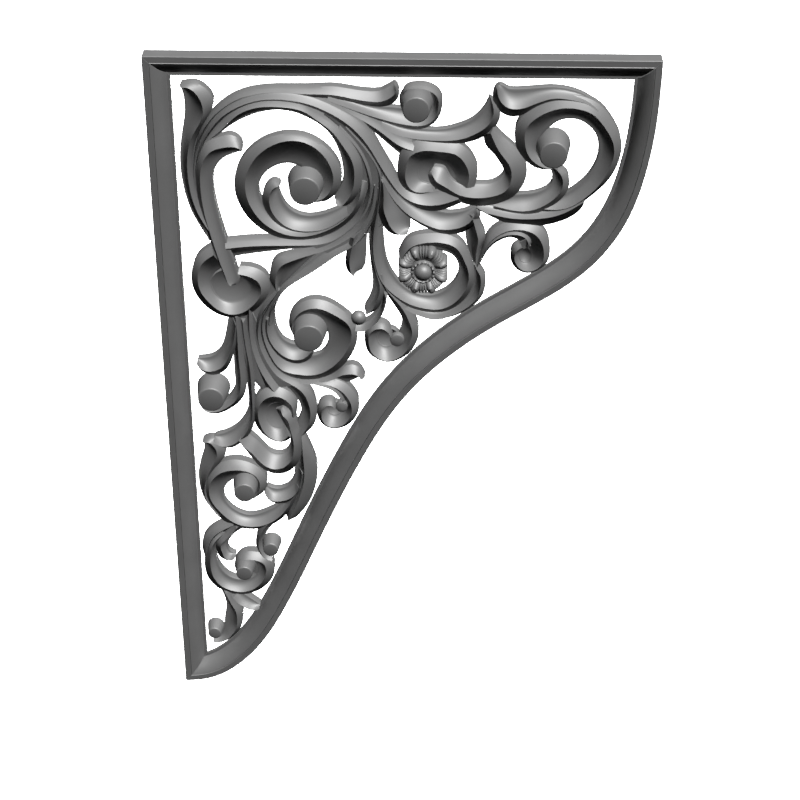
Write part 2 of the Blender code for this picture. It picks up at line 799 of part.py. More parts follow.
# The two S-shaped links and the neck of the left cup stand above the rest.
LINKS = {
    "upper link": (
        (183.5, 74.5, 179.5, 80.5, 3),
        (189.5, 75.5, 181.5, 87, 6),
        (193.5, 81.5, 190.5, 93.5, 7),
        (200, 86.5, 199.5, 99.3, 8),
        (210, 86.5, 211, 102.2, 9),
        (219, 86.3, 222.5, 101, 9),
        (226, 82.5, 235.5, 94.5, 9),
        (228, 77.5, 242.5, 82, 10),
        (225.5, 72.5, 242, 70.5, 10),
        (220.5, 65.5, 233, 58.5, 8),
        (216, 60, 225.5, 51.5, 5),
        (214.5, 54, 221, 46, 3),
    ),
    "lower link": (
        (75, 260, 80, 257, 2),
        (77.5, 265.5, 87, 261, 4),
        (80.5, 272, 90, 270, 4.5),
        (83.8, 280, 92.2, 281, 5),
        (84, 288, 92.3, 291, 5.5),
        (81.5, 293.5, 89.5, 302, 7),
        (76, 296, 80, 311, 8.5),
        (70.5, 294.3, 71, 311.3, 8.5),
        (66, 289.5, 62.5, 306, 8),
        (61.5, 284, 56, 297, 6.5),
        (57.5, 280, 50, 288, 4),
        (54, 276, 47, 282, 3),
    ),
    "neck of the left cup": (
        (30.5, 110, 42, 111, 2),
        (33.5, 121, 44.7, 121, 2.5),
        (36.7, 131, 47.5, 131.5, 3),
        (40.4, 142.9, 51, 142.6, 3),
        (43.5, 152, 53.8, 151, 3),
        (45.5, 158, 54.8, 156.5, 3),
        (48, 161, 53.5, 159.8, 2),
    ),
}

# Knobs: x and drop of the front face, its radius, and the heights of its two ends
KNOBS = (
    (171.9, 31.3, 8.5, 0, 19),
    (259.1, 61.1, 8.9, 0, 19),
    (100.4, 88.0, 9.7, 0, 19),
    (100.2, 196.1, 9.8, 0, 19),
    (32.2, 244.9, 8.9, 0, 19),
    (52.0, 321.0, 7.2, 0, 19),
    (68.8, 369.3, 5.3, 7.5, 19),
    (49.0, 390.6, 5.7, 0, 19),
    (24.6, 446.5, 4.7, 5.5, 17),
)
# The small ball: x, drop, radius, height of its middle
BALL = (133.5, 185.0, 5.1, 8.5)
# Curled ends standing in the cups: x, drop, radius, heights of its two ends
BUTTONS = ((159.4, 201, 4.7, 7, 11.5), (121.2, 254, 4, 7, 11.5))
# Bowls: x, drop, radius
BOWLS = ((48, 165, 15), (184, 81, 15), (151, 206, 9), (76, 265, 10), (116.5, 260, 8), (244, 139, 7))

ROSETTE = (176.6, 148.4)
ROSETTE_RADIUS = 17.0
ROSETTE_PETALS = 8


def world(x, drop, height):
    """A point of the drawing in metres, with the origin at the middle of the post face."""
    return (x * MM, (RAIL_DEPTH / 2 - height) * MM, (DROP / 2 - drop) * MM)


def spline(rows, count):
    """A smooth curve through the rows, spaced by the distance between them, at count places."""
    rows = np.asarray(rows, float)
    steps = np.diff(rows[:, :4], axis=0) if rows.shape[1] > 2 else np.diff(rows, axis=0)
    gaps = np.sqrt(np.maximum((steps**2).sum(axis=1), 1e-6))
    knots = np.concatenate([[0], np.cumsum(gaps)])
    size = len(rows)
    system = np.eye(size)
    pull = np.zeros_like(rows)
    for i in range(1, size - 1):
        before, after = gaps[i - 1], gaps[i]
        system[i, i - 1 : i + 2] = before, 2 * (before + after), after
        pull[i] = 6 * ((rows[i + 1] - rows[i]) / after - (rows[i] - rows[i - 1]) / before)
    bend = np.linalg.solve(system, pull)
    # Places keep their share between neighbouring rows, so tight curls stay well cut.
    at = np.linspace(0, size - 1, count)
    low = np.minimum(at.astype(int), size - 2)
    gap = gaps[low][:, None]
    right = (at - low)[:, None]
    left = 1 - right
    return (
        left * rows[low]
        + right * rows[low + 1]
        + gap**2 * ((left**3 - left) * bend[low] + (right**3 - right) * bend[low + 1]) / 6
    )


def mesh_object(name, points, faces):
    mesh = bpy.data.meshes.new(name)
    mesh.from_pydata([world(*point) for point in points], [], faces)
    work = bmesh.new()
    work.from_mesh(mesh)
    bmesh.ops.recalc_face_normals(work, faces=work.faces)
    bmesh.ops.triangulate(work, faces=work.faces)
    work.to_mesh(mesh)
    work.free()
    obj = bpy.data.objects.new(name, mesh)
    bpy.context.scene.collection.objects.link(obj)
    return obj


def loft(name, sections):
    """A closed solid through cross-sections that all have the same number of points."""
    size = len(sections[0])
    points = [point for section in sections for point in section]
    faces = []
    for row in range(len(sections) - 1):
        for i in range(size):
            j = (i + 1) % size
            low, high = row * size, (row + 1) * size
            faces.append((low + i, low + j, high + j, high + i))
    last = (len(sections) - 1) * size
    faces += [tuple(range(size)), tuple(range(last, last + size))]
    return mesh_object(name, points, faces)


def strand(name, rows, top=RIDGE, wall=WALL, floor=WALL, dish=2.0):
    """A carved strand: hollow from the floor edge up to the ridge, then a chamfer."""
    top = RIDGE_TOPS.get(name, top)
    rise = RIDGE_RISE.get(name, 0)
    sections = []
    count = round((len(rows) - 1) * SECTIONS_PER_POINT) + 1
    for n, (floor_x, floor_drop, rim_x, rim_drop, lip) in enumerate(spline(rows, count)):
        grown = min(1, n / (rise * count)) if rise else 1
        width = max(math.dist((floor_x, floor_drop), (rim_x, rim_drop)), 0.1)
        ridge = 1 - min(max(lip, 0.2) / width, 0.85)
        # The ends of the leaves run out thin, and low with it
        crest = wall + (top - wall) * min(1, width / 4) * grown
        crest = max(crest, wall + 0.2)
        shape = [(0, 0), (0, floor)]
        for step in range(1, FLOOR_STEPS + 1):
            share = step / FLOOR_STEPS
            shape.append((share * ridge, floor + (crest - floor) * share**dish))
        shape += [(1, wall), (1, 0)]
        sections.append(
            [
                (floor_x + (rim_x - floor_x) * t, floor_drop + (rim_drop - floor_drop) * t, h)
                for t, h in shape
            ]
        )
    return loft(name, sections)


def lathe(name, centre, rings, sides, scallop=0.0, start=0.0):
    """A round solid on an axis square to the back, from rings of (radius, height)."""
    sections = []
    for radius, height in rings:
        section = []
        for i in range(sides):
            angle = start + 2 * math.pi * i / sides
            reach = radius - (0 if i % 4 else scallop)
            section.append(
                (centre[0] + reach * math.cos(angle), centre[1] + reach * math.sin(angle), height)
            )
        sections.append(section)
    return loft(name, sections)


def large_scroll_rows():
    rows = list(LARGE_STEM)
    for step, (near, far, lip) in enumerate(LARGE_TURNS):
        angle = math.radians(270 - 45 * step)
        across = (math.cos(angle), -math.sin(angle))
        rows.append(
            (
                LARGE_CENTRE[0] + near * across[0],
                LARGE_CENTRE[1] + near * across[1],
                LARGE_CENTRE[0] + far * across[0],
                LARGE_CENTRE[1] + far * across[1],
                lip,
            )
        )
    return rows


def offset_curve(across):
    """The curved rail's line at a distance inwards from its outer edge, cut at both mitres."""
    edge = spline(CURVED_EDGE, 40 * len(CURVED_EDGE))
    heading = np.gradient(edge, axis=0)
    heading /= np.linalg.norm(heading, axis=1)[:, None]
    line = edge + np.stack([-heading[:, 1], heading[:, 0]], axis=1) * across
    past_beam = line[:, 0] + line[:, 1] - WIDTH
    past_post = DROP - LOW_MITRE * line[:, 0] - line[:, 1]
    start = int(np.argmax(past_beam > JOINT_GAP))
    end = len(line) - int(np.argmax(past_post[::-1] < -JOINT_GAP))
    return line[start:end]


def curved_edges(profile_across):
    """The same number of points along the curved rail at each distance inwards."""
    edges = []
    for across in profile_across:
        line = offset_curve(across)
        travelled = np.concatenate([[0], np.cumsum(np.linalg.norm(np.diff(line, axis=0), axis=1))])
        places = np.linspace(0, travelled[-1], RAIL_STEPS + 1)
        edges.append(np.stack([np.interp(places, travelled, line[:, i]) for i in (0, 1)], axis=1))
    return edges


def join(name, solids):
    """All the solids made one body."""
    base, *others = solids
    base.name = name
    helpers = bpy.data.collections.new(name + " parts")
    bpy.context.scene.collection.children.link(helpers)
    for other in others:
        helpers.objects.link(other)
    union = base.modifiers.new("union", "BOOLEAN")
    union.operand_type = "COLLECTION"
    union.operation = "UNION"
    union.solver = "EXACT"
    union.use_self = True
    union.collection = helpers
    settle(base)
    for other in others:
        bpy.data.objects.remove(other)
    bpy.data.collections.remove(helpers)
    return base


def settle(obj):
    """Puts the result of the modifiers into the mesh."""
    bpy.context.view_layer.update()
    graph = bpy.context.evaluated_depsgraph_get()
    result = bpy.data.meshes.new_from_object(obj.evaluated_get(graph))
    obj.modifiers.clear()
    obj.data = result


def cut_away(obj, cutter):
    difference = obj.modifiers.new("cut", "BOOLEAN")
    difference.operation = "DIFFERENCE"
    difference.solver = "EXACT"
    difference.object = cutter
    settle(obj)
    bpy.data.objects.remove(cutter)


def mitred_rail(name, start, end, inward, start_slope, end_slope):
    """A straight rail; each slope is how far its end runs inwards per mm of width."""
    run = np.array(end) - np.array(start)
    length = float(np.linalg.norm(run))
    run = run / length
    sections = []
    for offset, slope in ((JOINT_GAP / 2, start_slope), (length - JOINT_GAP / 2, -end_slope)):
        section = []
        for across, height in RAIL_PROFILE:
            place = np.array(start) + run * (offset + slope * across) + np.array(inward) * across
            section.append((place[0], place[1], height))
        sections.append(section)
    return loft(name, sections)


def curved_rail():
    edges = curved_edges([across for across, _ in RAIL_PROFILE])
    heights = [height for _, height in RAIL_PROFILE]
    sections = [
        [(*edge[row], height) for edge, height in zip(edges, heights)]
        for row in range(RAIL_STEPS + 1)
    ]
    return loft("curved_rail", sections)


def frame_cutter():
    """The band that the rails fill, with the joint gap, through the whole thickness."""
    inner = curved_edges([RAIL_WIDTH + JOINT_GAP])[0]
    hole = [(RAIL_WIDTH + JOINT_GAP, RAIL_WIDTH + JOINT_GAP)]
    hole += [tuple(point) for point in inner if min(point) > RAIL_WIDTH + JOINT_GAP]
    outer = [(-40, -40), (WIDTH + 40, -40), (WIDTH + 40, DROP + 40), (-40, DROP + 40)]
    slab = loft("slab", [[(x, drop, h) for x, drop in outer] for h in (-5, 40)])
    core = loft("core", [[(x, drop, h) for x, drop in hole] for h in (-10, 50)])
    cut_away(slab, core)
    return slab


def rosette_solids():
    sides = 4 * ROSETTE_PETALS
    reach = ROSETTE_RADIUS
    petals = lathe("petals", ROSETTE, ((reach, 0), (reach, 10), (reach - 2, 13.2), (9.5, 12.8)), sides, 1)
    beads = lathe("beads", ROSETTE, ((8.4, 2), (8.4, 12.8), (7, 13.7), (6, 12.6)), ROUND_SIDES)
    ball = lathe(
        "ball", ROSETTE, ((5.3, 2.5), (5.7, 13), (4.9, 15.8), (3.2, 17.4), (1.2, 18.1)), ROUND_SIDES
    )
    return [petals, beads, ball]


def scrollwork():
    solids = []
    for name, rows in {**LEAVES, **SCROLLS}.items():
        solids.append(strand(name, rows))
    solids.append(strand("large scroll", large_scroll_rows()))
    for name, rows in WEBS.items():
        solids.append(strand(name, rows, top=WEB_HEIGHT + 0.5, wall=WEB_HEIGHT, floor=WEB_HEIGHT))
    for name, rows in CUPS.items():
        solids.append(strand(name, rows, floor=BOWL_FLOOR))
    for name, rows in REEDS.items():
        solids.append(strand(name, rows, wall=REED_VALLEY, floor=REED_VALLEY, dish=1.0))
    for name, rows in LINKS.items():
        solids.append(strand(name, rows, top=LINK_RIDGE, dish=1.2))
    for x, drop, radius, low, high in KNOBS:
        rings = (
            (radius + KNOB_TAPER * (high - low), low),
            (radius + KNOB_TAPER * KNOB_BEVEL, high - KNOB_BEVEL),
            (radius - KNOB_BEVEL, high),
        )
        solids.append(lathe("knob", (x, drop), rings, ROUND_SIDES, start=0.1))
    x, drop, radius, middle = BALL
    rings = []
    for turn in (-65, -25, 10, 45, 75):
        angle = math.radians(turn)
        rings.append((radius * math.cos(angle), middle + radius * math.sin(angle)))
    solids.append(lathe("ball", (x, drop), rings, ROUND_SIDES, start=0.2))
    for x, drop, radius, low, high in BUTTONS:
        rings = ((radius, low), (radius, high - 1), (radius * 0.8, high))
        solids.append(lathe("button", (x, drop), rings, ROUND_SIDES, start=0.3))
    for x, drop, radius in BOWLS:
        solids.append(lathe("bowl", (x, drop), ((radius, 0), (radius, BOWL_FLOOR)), 12, start=0.15))
    solids += rosette_solids()
    return join("scrollwork", solids)


def painted(name, colour):
    material = bpy.data.materials.new(name)
    material.use_nodes = True
    shader = material.node_tree.nodes["Principled BSDF"]
    shader.inputs["Base Color"].default_value = (*colour, 1)
    shader.inputs["Roughness"].default_value = 0.45
    return material


def main():
    for obj in list(bpy.data.objects):
        bpy.data.objects.remove(obj)
    pieces = [
        mitred_rail("top_rail", (0, 0), (WIDTH, 0), (0, 1), 1, 1),
        mitred_rail("side_rail", (0, DROP), (0, 0), (1, 0), LOW_MITRE, 1),
        curved_rail(),
        scrollwork(),
    ]
    cut_away(pieces[-1], frame_cutter())
    for piece in pieces:
        piece.data.materials.clear()
        piece.data.materials.append(painted(piece.name + " paint", (0.09, 0.09, 0.09)))


main()
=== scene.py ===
import math

import bmesh
import bpy
import numpy as np
from mathutils import Euler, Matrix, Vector


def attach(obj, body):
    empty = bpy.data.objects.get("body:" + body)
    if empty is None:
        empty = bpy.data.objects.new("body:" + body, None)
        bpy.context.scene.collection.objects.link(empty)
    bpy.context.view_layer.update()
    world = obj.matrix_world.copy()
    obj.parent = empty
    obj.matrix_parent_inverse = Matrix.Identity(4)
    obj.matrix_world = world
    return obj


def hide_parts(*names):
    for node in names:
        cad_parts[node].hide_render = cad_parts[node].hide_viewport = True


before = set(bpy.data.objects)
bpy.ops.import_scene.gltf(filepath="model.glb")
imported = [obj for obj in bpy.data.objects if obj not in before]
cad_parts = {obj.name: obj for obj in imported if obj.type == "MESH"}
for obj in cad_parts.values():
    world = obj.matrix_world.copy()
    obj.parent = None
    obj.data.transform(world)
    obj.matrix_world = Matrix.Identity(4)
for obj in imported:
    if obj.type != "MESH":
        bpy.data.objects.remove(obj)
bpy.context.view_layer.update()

# The bracket is drawn in millimetres: x to the right from the post face, "drop" downwards
# from the beam face, and heights forwards from the flat back.
bracket = {
    "width": 325.0,
    "drop": 495.0,
    "railWidth": 16.0,
    "railDepth": 12.0,
    "jointGap": 0.3,
    "lowMitre": 1.19,  # mm along the post rail's lower mitre for each mm across it
}


def place(x, down, height):
    # A point of the drawing in metres
    depth = bracket["railDepth"] / 2 - height
    return (x * 0.001, depth * 0.001, (bracket["drop"] / 2 - down) * 0.001)


def spline(rows, count, spread=4):
    # A natural cubic through the rows; the first columns set the spacing between them.
    rows = np.asarray(rows, float)
    gaps = np.sqrt(np.maximum((np.diff(rows[:, :spread], axis=0) ** 2).sum(axis=1), 1e-6))
    size = len(rows)
    system = np.eye(size)
    pull = np.zeros_like(rows)
    for i in range(1, size - 1):
        before, after = gaps[i - 1], gaps[i]
        system[i, i - 1 : i + 2] = before, 2 * (before + after), after
        pull[i] = 6 * ((rows[i + 1] - rows[i]) / after - (rows[i] - rows[i - 1]) / before)
    bend = np.linalg.solve(system, pull)
    at = np.linspace(0, size - 1, count)
    low = np.minimum(at.astype(int), size - 2)
    gap = gaps[low][:, None]
    right = (at - low)[:, None]
    left = 1 - right
    return (
        left * rows[low]
        + right * rows[low + 1]
        + gap**2 * ((left**3 - left) * bend[low] + (right**3 - right) * bend[low + 1]) / 6
    )


def solid(name, points, faces):
    mesh = bpy.data.meshes.new(name)
    mesh.from_pydata([place(*point) for point in points], [], faces)
    work = bmesh.new()
    work.from_mesh(mesh)
    bmesh.ops.recalc_face_normals(work, faces=work.faces)
    work.to_mesh(mesh)
    work.free()
    piece = bpy.data.objects.new(name, mesh)
    bpy.context.scene.collection.objects.link(piece)
    return piece


def loft(name, sections):
    # A closed solid through cross-sections that all have the same number of points
    size = len(sections[0])
    points = [point for section in sections for point in section]
    faces = []
    for row in range(len(sections) - 1):
        for i in range(size):
            j = (i + 1) % size
            low, high = row * size, (row + 1) * size
            faces.append((low + i, low + j, high + j, high + i))
    last = (len(sections) - 1) * size
    faces += [tuple(range(size)), tuple(range(last, last + size))]
    return solid(name, points, faces)


def settle(piece):
    # Puts the result of the modifiers into the mesh
    bpy.context.view_layer.update()
    graph = bpy.context.evaluated_depsgraph_get()
    result = bpy.data.meshes.new_from_object(piece.evaluated_get(graph))
    piece.modifiers.clear()
    piece.data = result


def combine(piece, others, operation="UNION"):
    for other in others:
        step = piece.modifiers.new("carve", "BOOLEAN")
        step.operation = operation
        step.solver = "MANIFOLD"
        step.object = other
    settle(piece)
    for other in others:
        bpy.data.objects.remove(other)
    return piece


seams = {
    "weld": 2e-6,  # metres
    "sliver": 1e-6,
    "smallestBody": 100,  # faces
    "widestHole": 12,  # edges
}


def closeSeams(piece):
    # Welds hairline seams and takes out the slivers that the joins fold flat
    net = bmesh.new()
    net.from_mesh(piece.data)
    bmesh.ops.remove_doubles(net, verts=net.verts, dist=seams["weld"])
    bmesh.ops.dissolve_degenerate(net, edges=net.edges, dist=seams["sliver"])
    bmesh.ops.triangulate(net, faces=net.faces)
    for _ in range(3):
        same = {}
        for face in net.faces:
            same.setdefault(frozenset(face.verts), []).append(face)
        folded = {face for faces in same.values() if len(faces) > 1 for face in faces}
        for face in net.faces:
            ends = [len(edge.link_faces) for edge in face.edges]
            if 1 in ends and max(ends) > 2:
                folded.add(face)
        bmesh.ops.delete(net, geom=list(folded), context="FACES")
    left = set(net.faces)
    stray = []
    while left:
        island = [left.pop()]
        for face in island:
            near = {other for edge in face.edges for other in edge.link_faces} & left
            left -= near
            island.extend(near)
        if len(island) < seams["smallestBody"]:
            stray += island
    bmesh.ops.delete(net, geom=stray, context="FACES")
    bmesh.ops.delete(net, geom=[v for v in net.verts if not v.link_faces], context="VERTS")
    rims = [edge for edge in net.edges if edge.is_boundary]
    bmesh.ops.holes_fill(net, edges=rims, sides=seams["widestHole"])
    bmesh.ops.triangulate(net, faces=net.faces)
    bmesh.ops.recalc_face_normals(net, faces=net.faces)
    net.to_mesh(piece.data)
    net.free()


# Each strand is a list of cross-sections in millimetres: the x and drop of its hollow edge,
# the x and drop of its chamfered edge, and how far the ridge lies inside that edge.
leaves = {
    "tall leaf": (
        (34, 128, 37, 117, 3), (25, 110, 32, 105, 3), (20, 88, 28.3, 88, 3),
        (19.4, 70, 28, 70, 3), (22, 52, 33, 53, 3.5), (24.3, 38, 41, 39, 4.5),
        (24.3, 30.5, 43, 30, 7), (23.8, 27, 38.5, 22.5, 6), (23, 24, 31, 18.8, 3.5),
        (22, 21.5, 23, 20, 0.8),
    ),
    "lower leaf": (
        (53, 161, 49.6, 162.2, 0.8), (54.6, 157.5, 46.2, 160, 1.6), (53.6, 152.5, 43.8, 154.3, 2),
        (51.2, 142, 40.4, 144, 2.3), (48, 131.5, 37.2, 133, 2.6), (45.3, 121, 34.3, 122.5, 2.9),
        (42.7, 110, 31.6, 111, 3.1), (41, 100, 29.8, 100, 3.3), (40.2, 89, 28.9, 86, 3.7),
        (41.5, 79, 30.2, 72, 4.3), (45.5, 72, 36, 60.5, 5.5), (51, 68, 46, 55.5, 6),
        (56, 66, 55, 54.7, 6), (58.8, 65.3, 60.3, 61, 2), (59.4, 65.5, 60.4, 64, 0.8),
    ),
    "inner reed lobe": (
        (38.5, 60, 36, 58.3, 0.7), (44, 56, 40.5, 52.5, 2), (50, 51, 46.5, 46, 3),
        (60, 44.4, 58, 36, 2.7), (72, 39.5, 71.5, 31, 2.4), (88, 38, 88, 30.6, 2.5),
        (100, 41.5, 101, 33.4, 2.5), (108, 46, 109, 38.8, 2.6), (115, 52, 120, 46, 3.5),
        (120, 60, 129, 57, 4.5), (123.5, 70.5, 136, 70, 5), (124.6, 80, 137.2, 80, 5),
        (123.5, 88, 136, 90, 5), (120.5, 94, 132, 98, 4.5), (118.8, 97, 125, 103.3, 3),
        (118.6, 98.4, 120, 100.6, 1),
    ),
    "upper wrap": (
        (116, 24.5, 116, 30, 2), (130, 30, 129, 35.8, 2.5), (141, 33.5, 140, 40.3, 3),
        (151, 34.5, 150, 44, 3.5), (160, 35, 160, 47, 4), (168, 36, 168.5, 49, 4.5),
        (175.5, 36, 177, 48.3, 4), (180.5, 33.5, 184.3, 43.4, 3.5), (181.5, 29, 188, 34.5, 3),
        (180, 24, 187.3, 25.5, 2.5), (176.5, 23, 181.8, 20.4, 2), (172, 22.8, 173.5, 18.7, 1.5),
        (167.5, 24.5, 164.8, 21.4, 1), (165, 28, 162.6, 26.5, 0.6),
    ),
    "leaf by the knob": (
        (150, 43.5, 150, 47.5, 1.2), (163, 48, 162, 53.8, 2), (177, 49.5, 177, 57.3, 3),
        (190, 49.2, 191, 58.7, 4), (200, 46.2, 203, 58, 5), (207.5, 42.5, 214.5, 53.8, 6),
        (212.5, 37.5, 222.5, 46, 5.5), (215.5, 33, 225, 38, 5), (217, 29.5, 223.3, 33, 3.5),
        (217.8, 27, 219.8, 28.5, 0.8),
    ),
    "slanting strand": (
        (128, 38.5, 126, 33, 1.8), (139, 47, 141, 40.5, 2.5), (150, 57, 151.5, 47.5, 3),
        (161, 67, 163, 55.5, 3.5), (167, 72, 171, 58.5, 3.5),
    ),
    "leaf under the upper cup": (
        (155, 87, 149.5, 82, 1.5), (163, 98.5, 156, 97.5, 2.5), (172, 103, 165.5, 109.5, 3),
        (180, 105, 177, 117.5, 4), (187, 107, 187, 122, 5), (194, 108, 198, 122.6, 6),
        (200, 107.3, 206.5, 119, 5.5), (204.5, 106, 212.5, 112, 4.5),
        (208.5, 104.2, 213.6, 107, 3), (210.3, 103.6, 212.3, 104.8, 0.8),
    ),
    "lobe over the rosette": (
        (154, 86, 149, 84, 1.5), (158, 94, 148, 95, 3), (163, 101.5, 147, 104, 4),
        (167.5, 109, 148.3, 112, 5), (168.3, 113, 151.5, 119, 5), (168.3, 116, 158, 123.7, 4),
        (168.3, 118.5, 165.5, 122.3, 1.5),
    ),
    "stem to the left cup": (
        (124, 46.5, 122, 48.3, 0.7), (138, 65, 135.3, 66, 1.3), (143.5, 80, 139.7, 80, 1.9),
        (144.2, 90, 140.7, 88, 1.9), (142.5, 100, 138.8, 97, 1.9),
        (138, 110.5, 133.5, 108.5, 2.2), (131, 119.5, 127, 116, 2.4),
        (122, 127.5, 117, 123.5, 2.8), (109, 133.3, 106, 126.5, 3), (93, 135.7, 91, 127, 3.2),
        (78, 137.6, 76, 127.2, 3.3), (63, 139.8, 61, 127.8, 3.4), (48.5, 142.6, 46, 129.6, 3.5),
    ),
    "leaf below the stem": (
        (146.3, 88, 144.4, 88, 0.6), (144.8, 102, 142.3, 100.5, 1),
        (139.5, 115.5, 136, 113.7, 1.4), (131.5, 124.5, 127, 123, 2), (121, 132, 113, 132.5, 2),
        (105, 140, 98, 136.7, 2.5), (96, 148.5, 86, 139.3, 4), (90, 155, 78.5, 143, 5),
        (85.5, 159.7, 74.8, 152, 5), (82, 163, 75.5, 161, 3.5), (80.5, 165.5, 78.3, 165.6, 0.9),
    ),
    "lower trunk": (
        (146.2, 90, 147.7, 90, 0.6), (144.9, 104, 146.5, 105, 0.8), (139.5, 116.5, 142, 118, 1.3),
        (128, 127.5, 132.5, 131, 2), (112, 136.5, 120.5, 139, 2.6), (101, 145, 109.5, 147.5, 2.6),
        (91, 154.5, 97, 156, 2.4), (83.5, 162, 87.5, 162.8, 2), (77, 171, 81.5, 170, 2),
        (72, 181, 77.2, 181, 2.4), (69, 191, 76, 191, 2.6),
    ),
    "hanging lobe": (
        (140, 118, 129, 126, 3), (139.2, 133, 126.3, 135, 3), (138.8, 142, 125.2, 143, 3),
        (138, 147, 125.8, 148.7, 3), (136, 150.4, 127.8, 151.8, 2),
        (133.5, 152, 130.7, 152.8, 0.8),
    ),
    "inner leaf of the large scroll": (
        (126, 103, 128, 111, 3), (112, 109.5, 113, 120.5, 3), (102, 111.3, 101, 123, 3.5),
        (94, 109.5, 89, 121.5, 4), (88, 105, 78.5, 114.5, 4.5), (84.5, 99, 72.5, 104, 5),
        (83.2, 95, 71.8, 96.5, 5), (83, 92.5, 75, 89, 4), (83.5, 90, 79.5, 86, 3),
        (84, 88.8, 83.3, 87, 0.8),
    ),
    "outer leaf of the rosette": (
        (165, 175, 164, 178, 1.2), (174, 179, 174, 183.2, 1.8), (184, 181, 185, 186.3, 2.3),
        (194, 179, 196, 184.3, 3), (203, 172, 207, 178.3, 3.5), (208.5, 164, 215.5, 169, 3.5),
        (210.3, 156, 218.3, 158, 3.5), (210.3, 150, 217.3, 152, 3),
        (209.5, 146, 213.3, 145.8, 1.5),
    ),
    "leaf by the small ball": (
        (141, 118, 142.3, 122, 0.6), (140.8, 132, 143.5, 138, 1), (142.3, 150, 148, 152, 2),
        (143, 160, 151, 161, 3), (142, 168, 150, 169.5, 3.5), (139.5, 174.5, 147, 177, 3.5),
        (137.5, 178.5, 143.5, 181, 3), (137.3, 180.5, 139.3, 182, 1),
    ),
    "stem of the small ball": (
        (149, 166, 152.8, 168, 1.2), (147.5, 178, 151, 179, 1.5), (144, 184, 147.4, 187, 1.8),
        (139.5, 188, 142, 193, 2), (135.5, 189.5, 136, 196, 2), (132, 189, 131, 194.5, 1),
    ),
    "left leaf": (
        (46, 184, 52, 192, 2), (43.5, 197, 49.7, 208, 3), (41, 207.5, 47, 218, 4),
        (37.8, 214, 42.5, 227, 5), (33, 217.8, 36, 231.3, 5.5), (28, 219.2, 28.6, 231, 5),
        (25, 219.6, 24.3, 227.5, 4), (23.3, 219.8, 22.3, 222.3, 1),
    ),
    "stem of the left knob": (
        (47, 186, 53, 184, 2), (47, 200, 53.5, 198, 2), (47.5, 218, 54.8, 218, 3),
        (47.7, 232, 55.9, 233, 3.5), (47, 243, 54.6, 245.5, 4), (43, 250, 50, 253.3, 4),
        (38, 253, 42, 259.8, 4), (32, 254, 33, 263, 4), (28, 253.5, 27, 261.7, 3.5),
        (26, 251.5, 23.3, 257, 2),
    ),
    "leaf under the left knob": (
        (52, 188, 57, 188, 1.2), (53.5, 205, 58.5, 206, 1.5), (55, 222, 60.7, 224, 1.6),
        (55.8, 238, 61.3, 240, 1.7), (56.5, 250, 61, 256, 2), (55, 261.5, 60.3, 268, 3),
        (51, 269.5, 56.8, 278, 4), (45.5, 275.3, 50, 286.3, 4.5), (39.5, 279, 43.5, 290.5, 5),
        (35, 280.6, 37.3, 290.3, 4.5), (32.3, 281.6, 33, 287, 3), (31.2, 282.3, 30.8, 284.3, 0.8),
    ),
    "flute to the lower cup": (
        (58, 176, 62, 176, 1.5), (56.5, 190, 62, 190, 2), (58, 205, 63, 204, 2.3),
        (60.5, 220, 66.5, 219, 2.5), (64, 235, 73, 233, 3), (66.5, 246, 78, 241, 3),
    ),
    "flute round the lower cup": (
        (79, 163.5, 81, 165.5, 1), (73.5, 168.5, 77.3, 171.5, 1.6), (67.5, 176.5, 72, 180, 2.2),
        (63, 188, 69.3, 189, 2.8), (62.3, 202, 68.8, 203.5, 3), (66, 215.5, 73, 218, 3),
        (72, 228, 80, 229, 3), (79.5, 238.5, 90, 234.7, 3.5), (86, 244.5, 98.5, 241.5, 4),
        (90.5, 251.5, 103, 252, 4.5), (92.6, 258.5, 103.8, 262, 4.5), (91.5, 265, 100.5, 272, 4),
        (89.5, 270, 93, 280, 2),
    ),
    "inner leaf of the middle scroll": (
        (77, 184, 70.5, 187, 2), (78, 196, 69.8, 200, 3), (81, 202.5, 73.5, 210, 4),
        (85, 206, 81, 218.5, 5), (90, 207.8, 90, 222, 5.5), (95, 208, 97.5, 220, 5),
        (99, 208.3, 102, 214.5, 3.5), (101.5, 208.4, 102.8, 210, 0.8),
    ),
    "leaf by the right cup": (
        (106, 236, 106, 233, 1.5), (115, 236, 116.5, 229, 2.5), (120.5, 236.9, 122, 224.3, 4),
        (126, 237, 128.5, 222.3, 5), (130.5, 234.8, 133.5, 224.6, 4),
        (134, 232.9, 136.2, 228.7, 3), (136.7, 232.2, 137.3, 231.4, 0.6),
    ),
    "left leaf of the fourth scroll": (
        (31, 349, 33, 346, 1.5), (22, 337, 26, 334, 1.8), (18.5, 322, 25, 322, 2),
        (19, 309, 29.5, 310, 3), (21.5, 300, 36, 301, 5), (23.5, 292.5, 39, 292, 6),
        (23.7, 289.5, 36, 286.5, 5), (23.2, 288, 30, 282.5, 3), (22.5, 286.5, 23.7, 284.3, 1),
    ),
    "right leaf of the fourth scroll": (
        (89, 272, 93, 276, 1.5), (90.5, 285, 97, 285, 4), (90, 296, 101.5, 298, 8),
        (87, 306, 103, 308, 9), (86, 315, 102.3, 317, 9), (83, 324, 99.5, 328, 9),
        (80, 334, 95.5, 337, 8), (78.5, 341.5, 90, 345, 6), (79, 346, 84.5, 349.8, 3),
        (79.5, 348.5, 81.5, 349.8, 0.8),
    ),
    "inner leaf of the fourth scroll": (
        (88, 305, 94, 310, 2), (86.5, 313.5, 92, 322, 3), (83.5, 320.5, 89.5, 329, 4),
        (79, 324.3, 84, 334.8, 5), (74.5, 325.5, 77, 336.9, 5), (71, 325, 70, 336, 4.5),
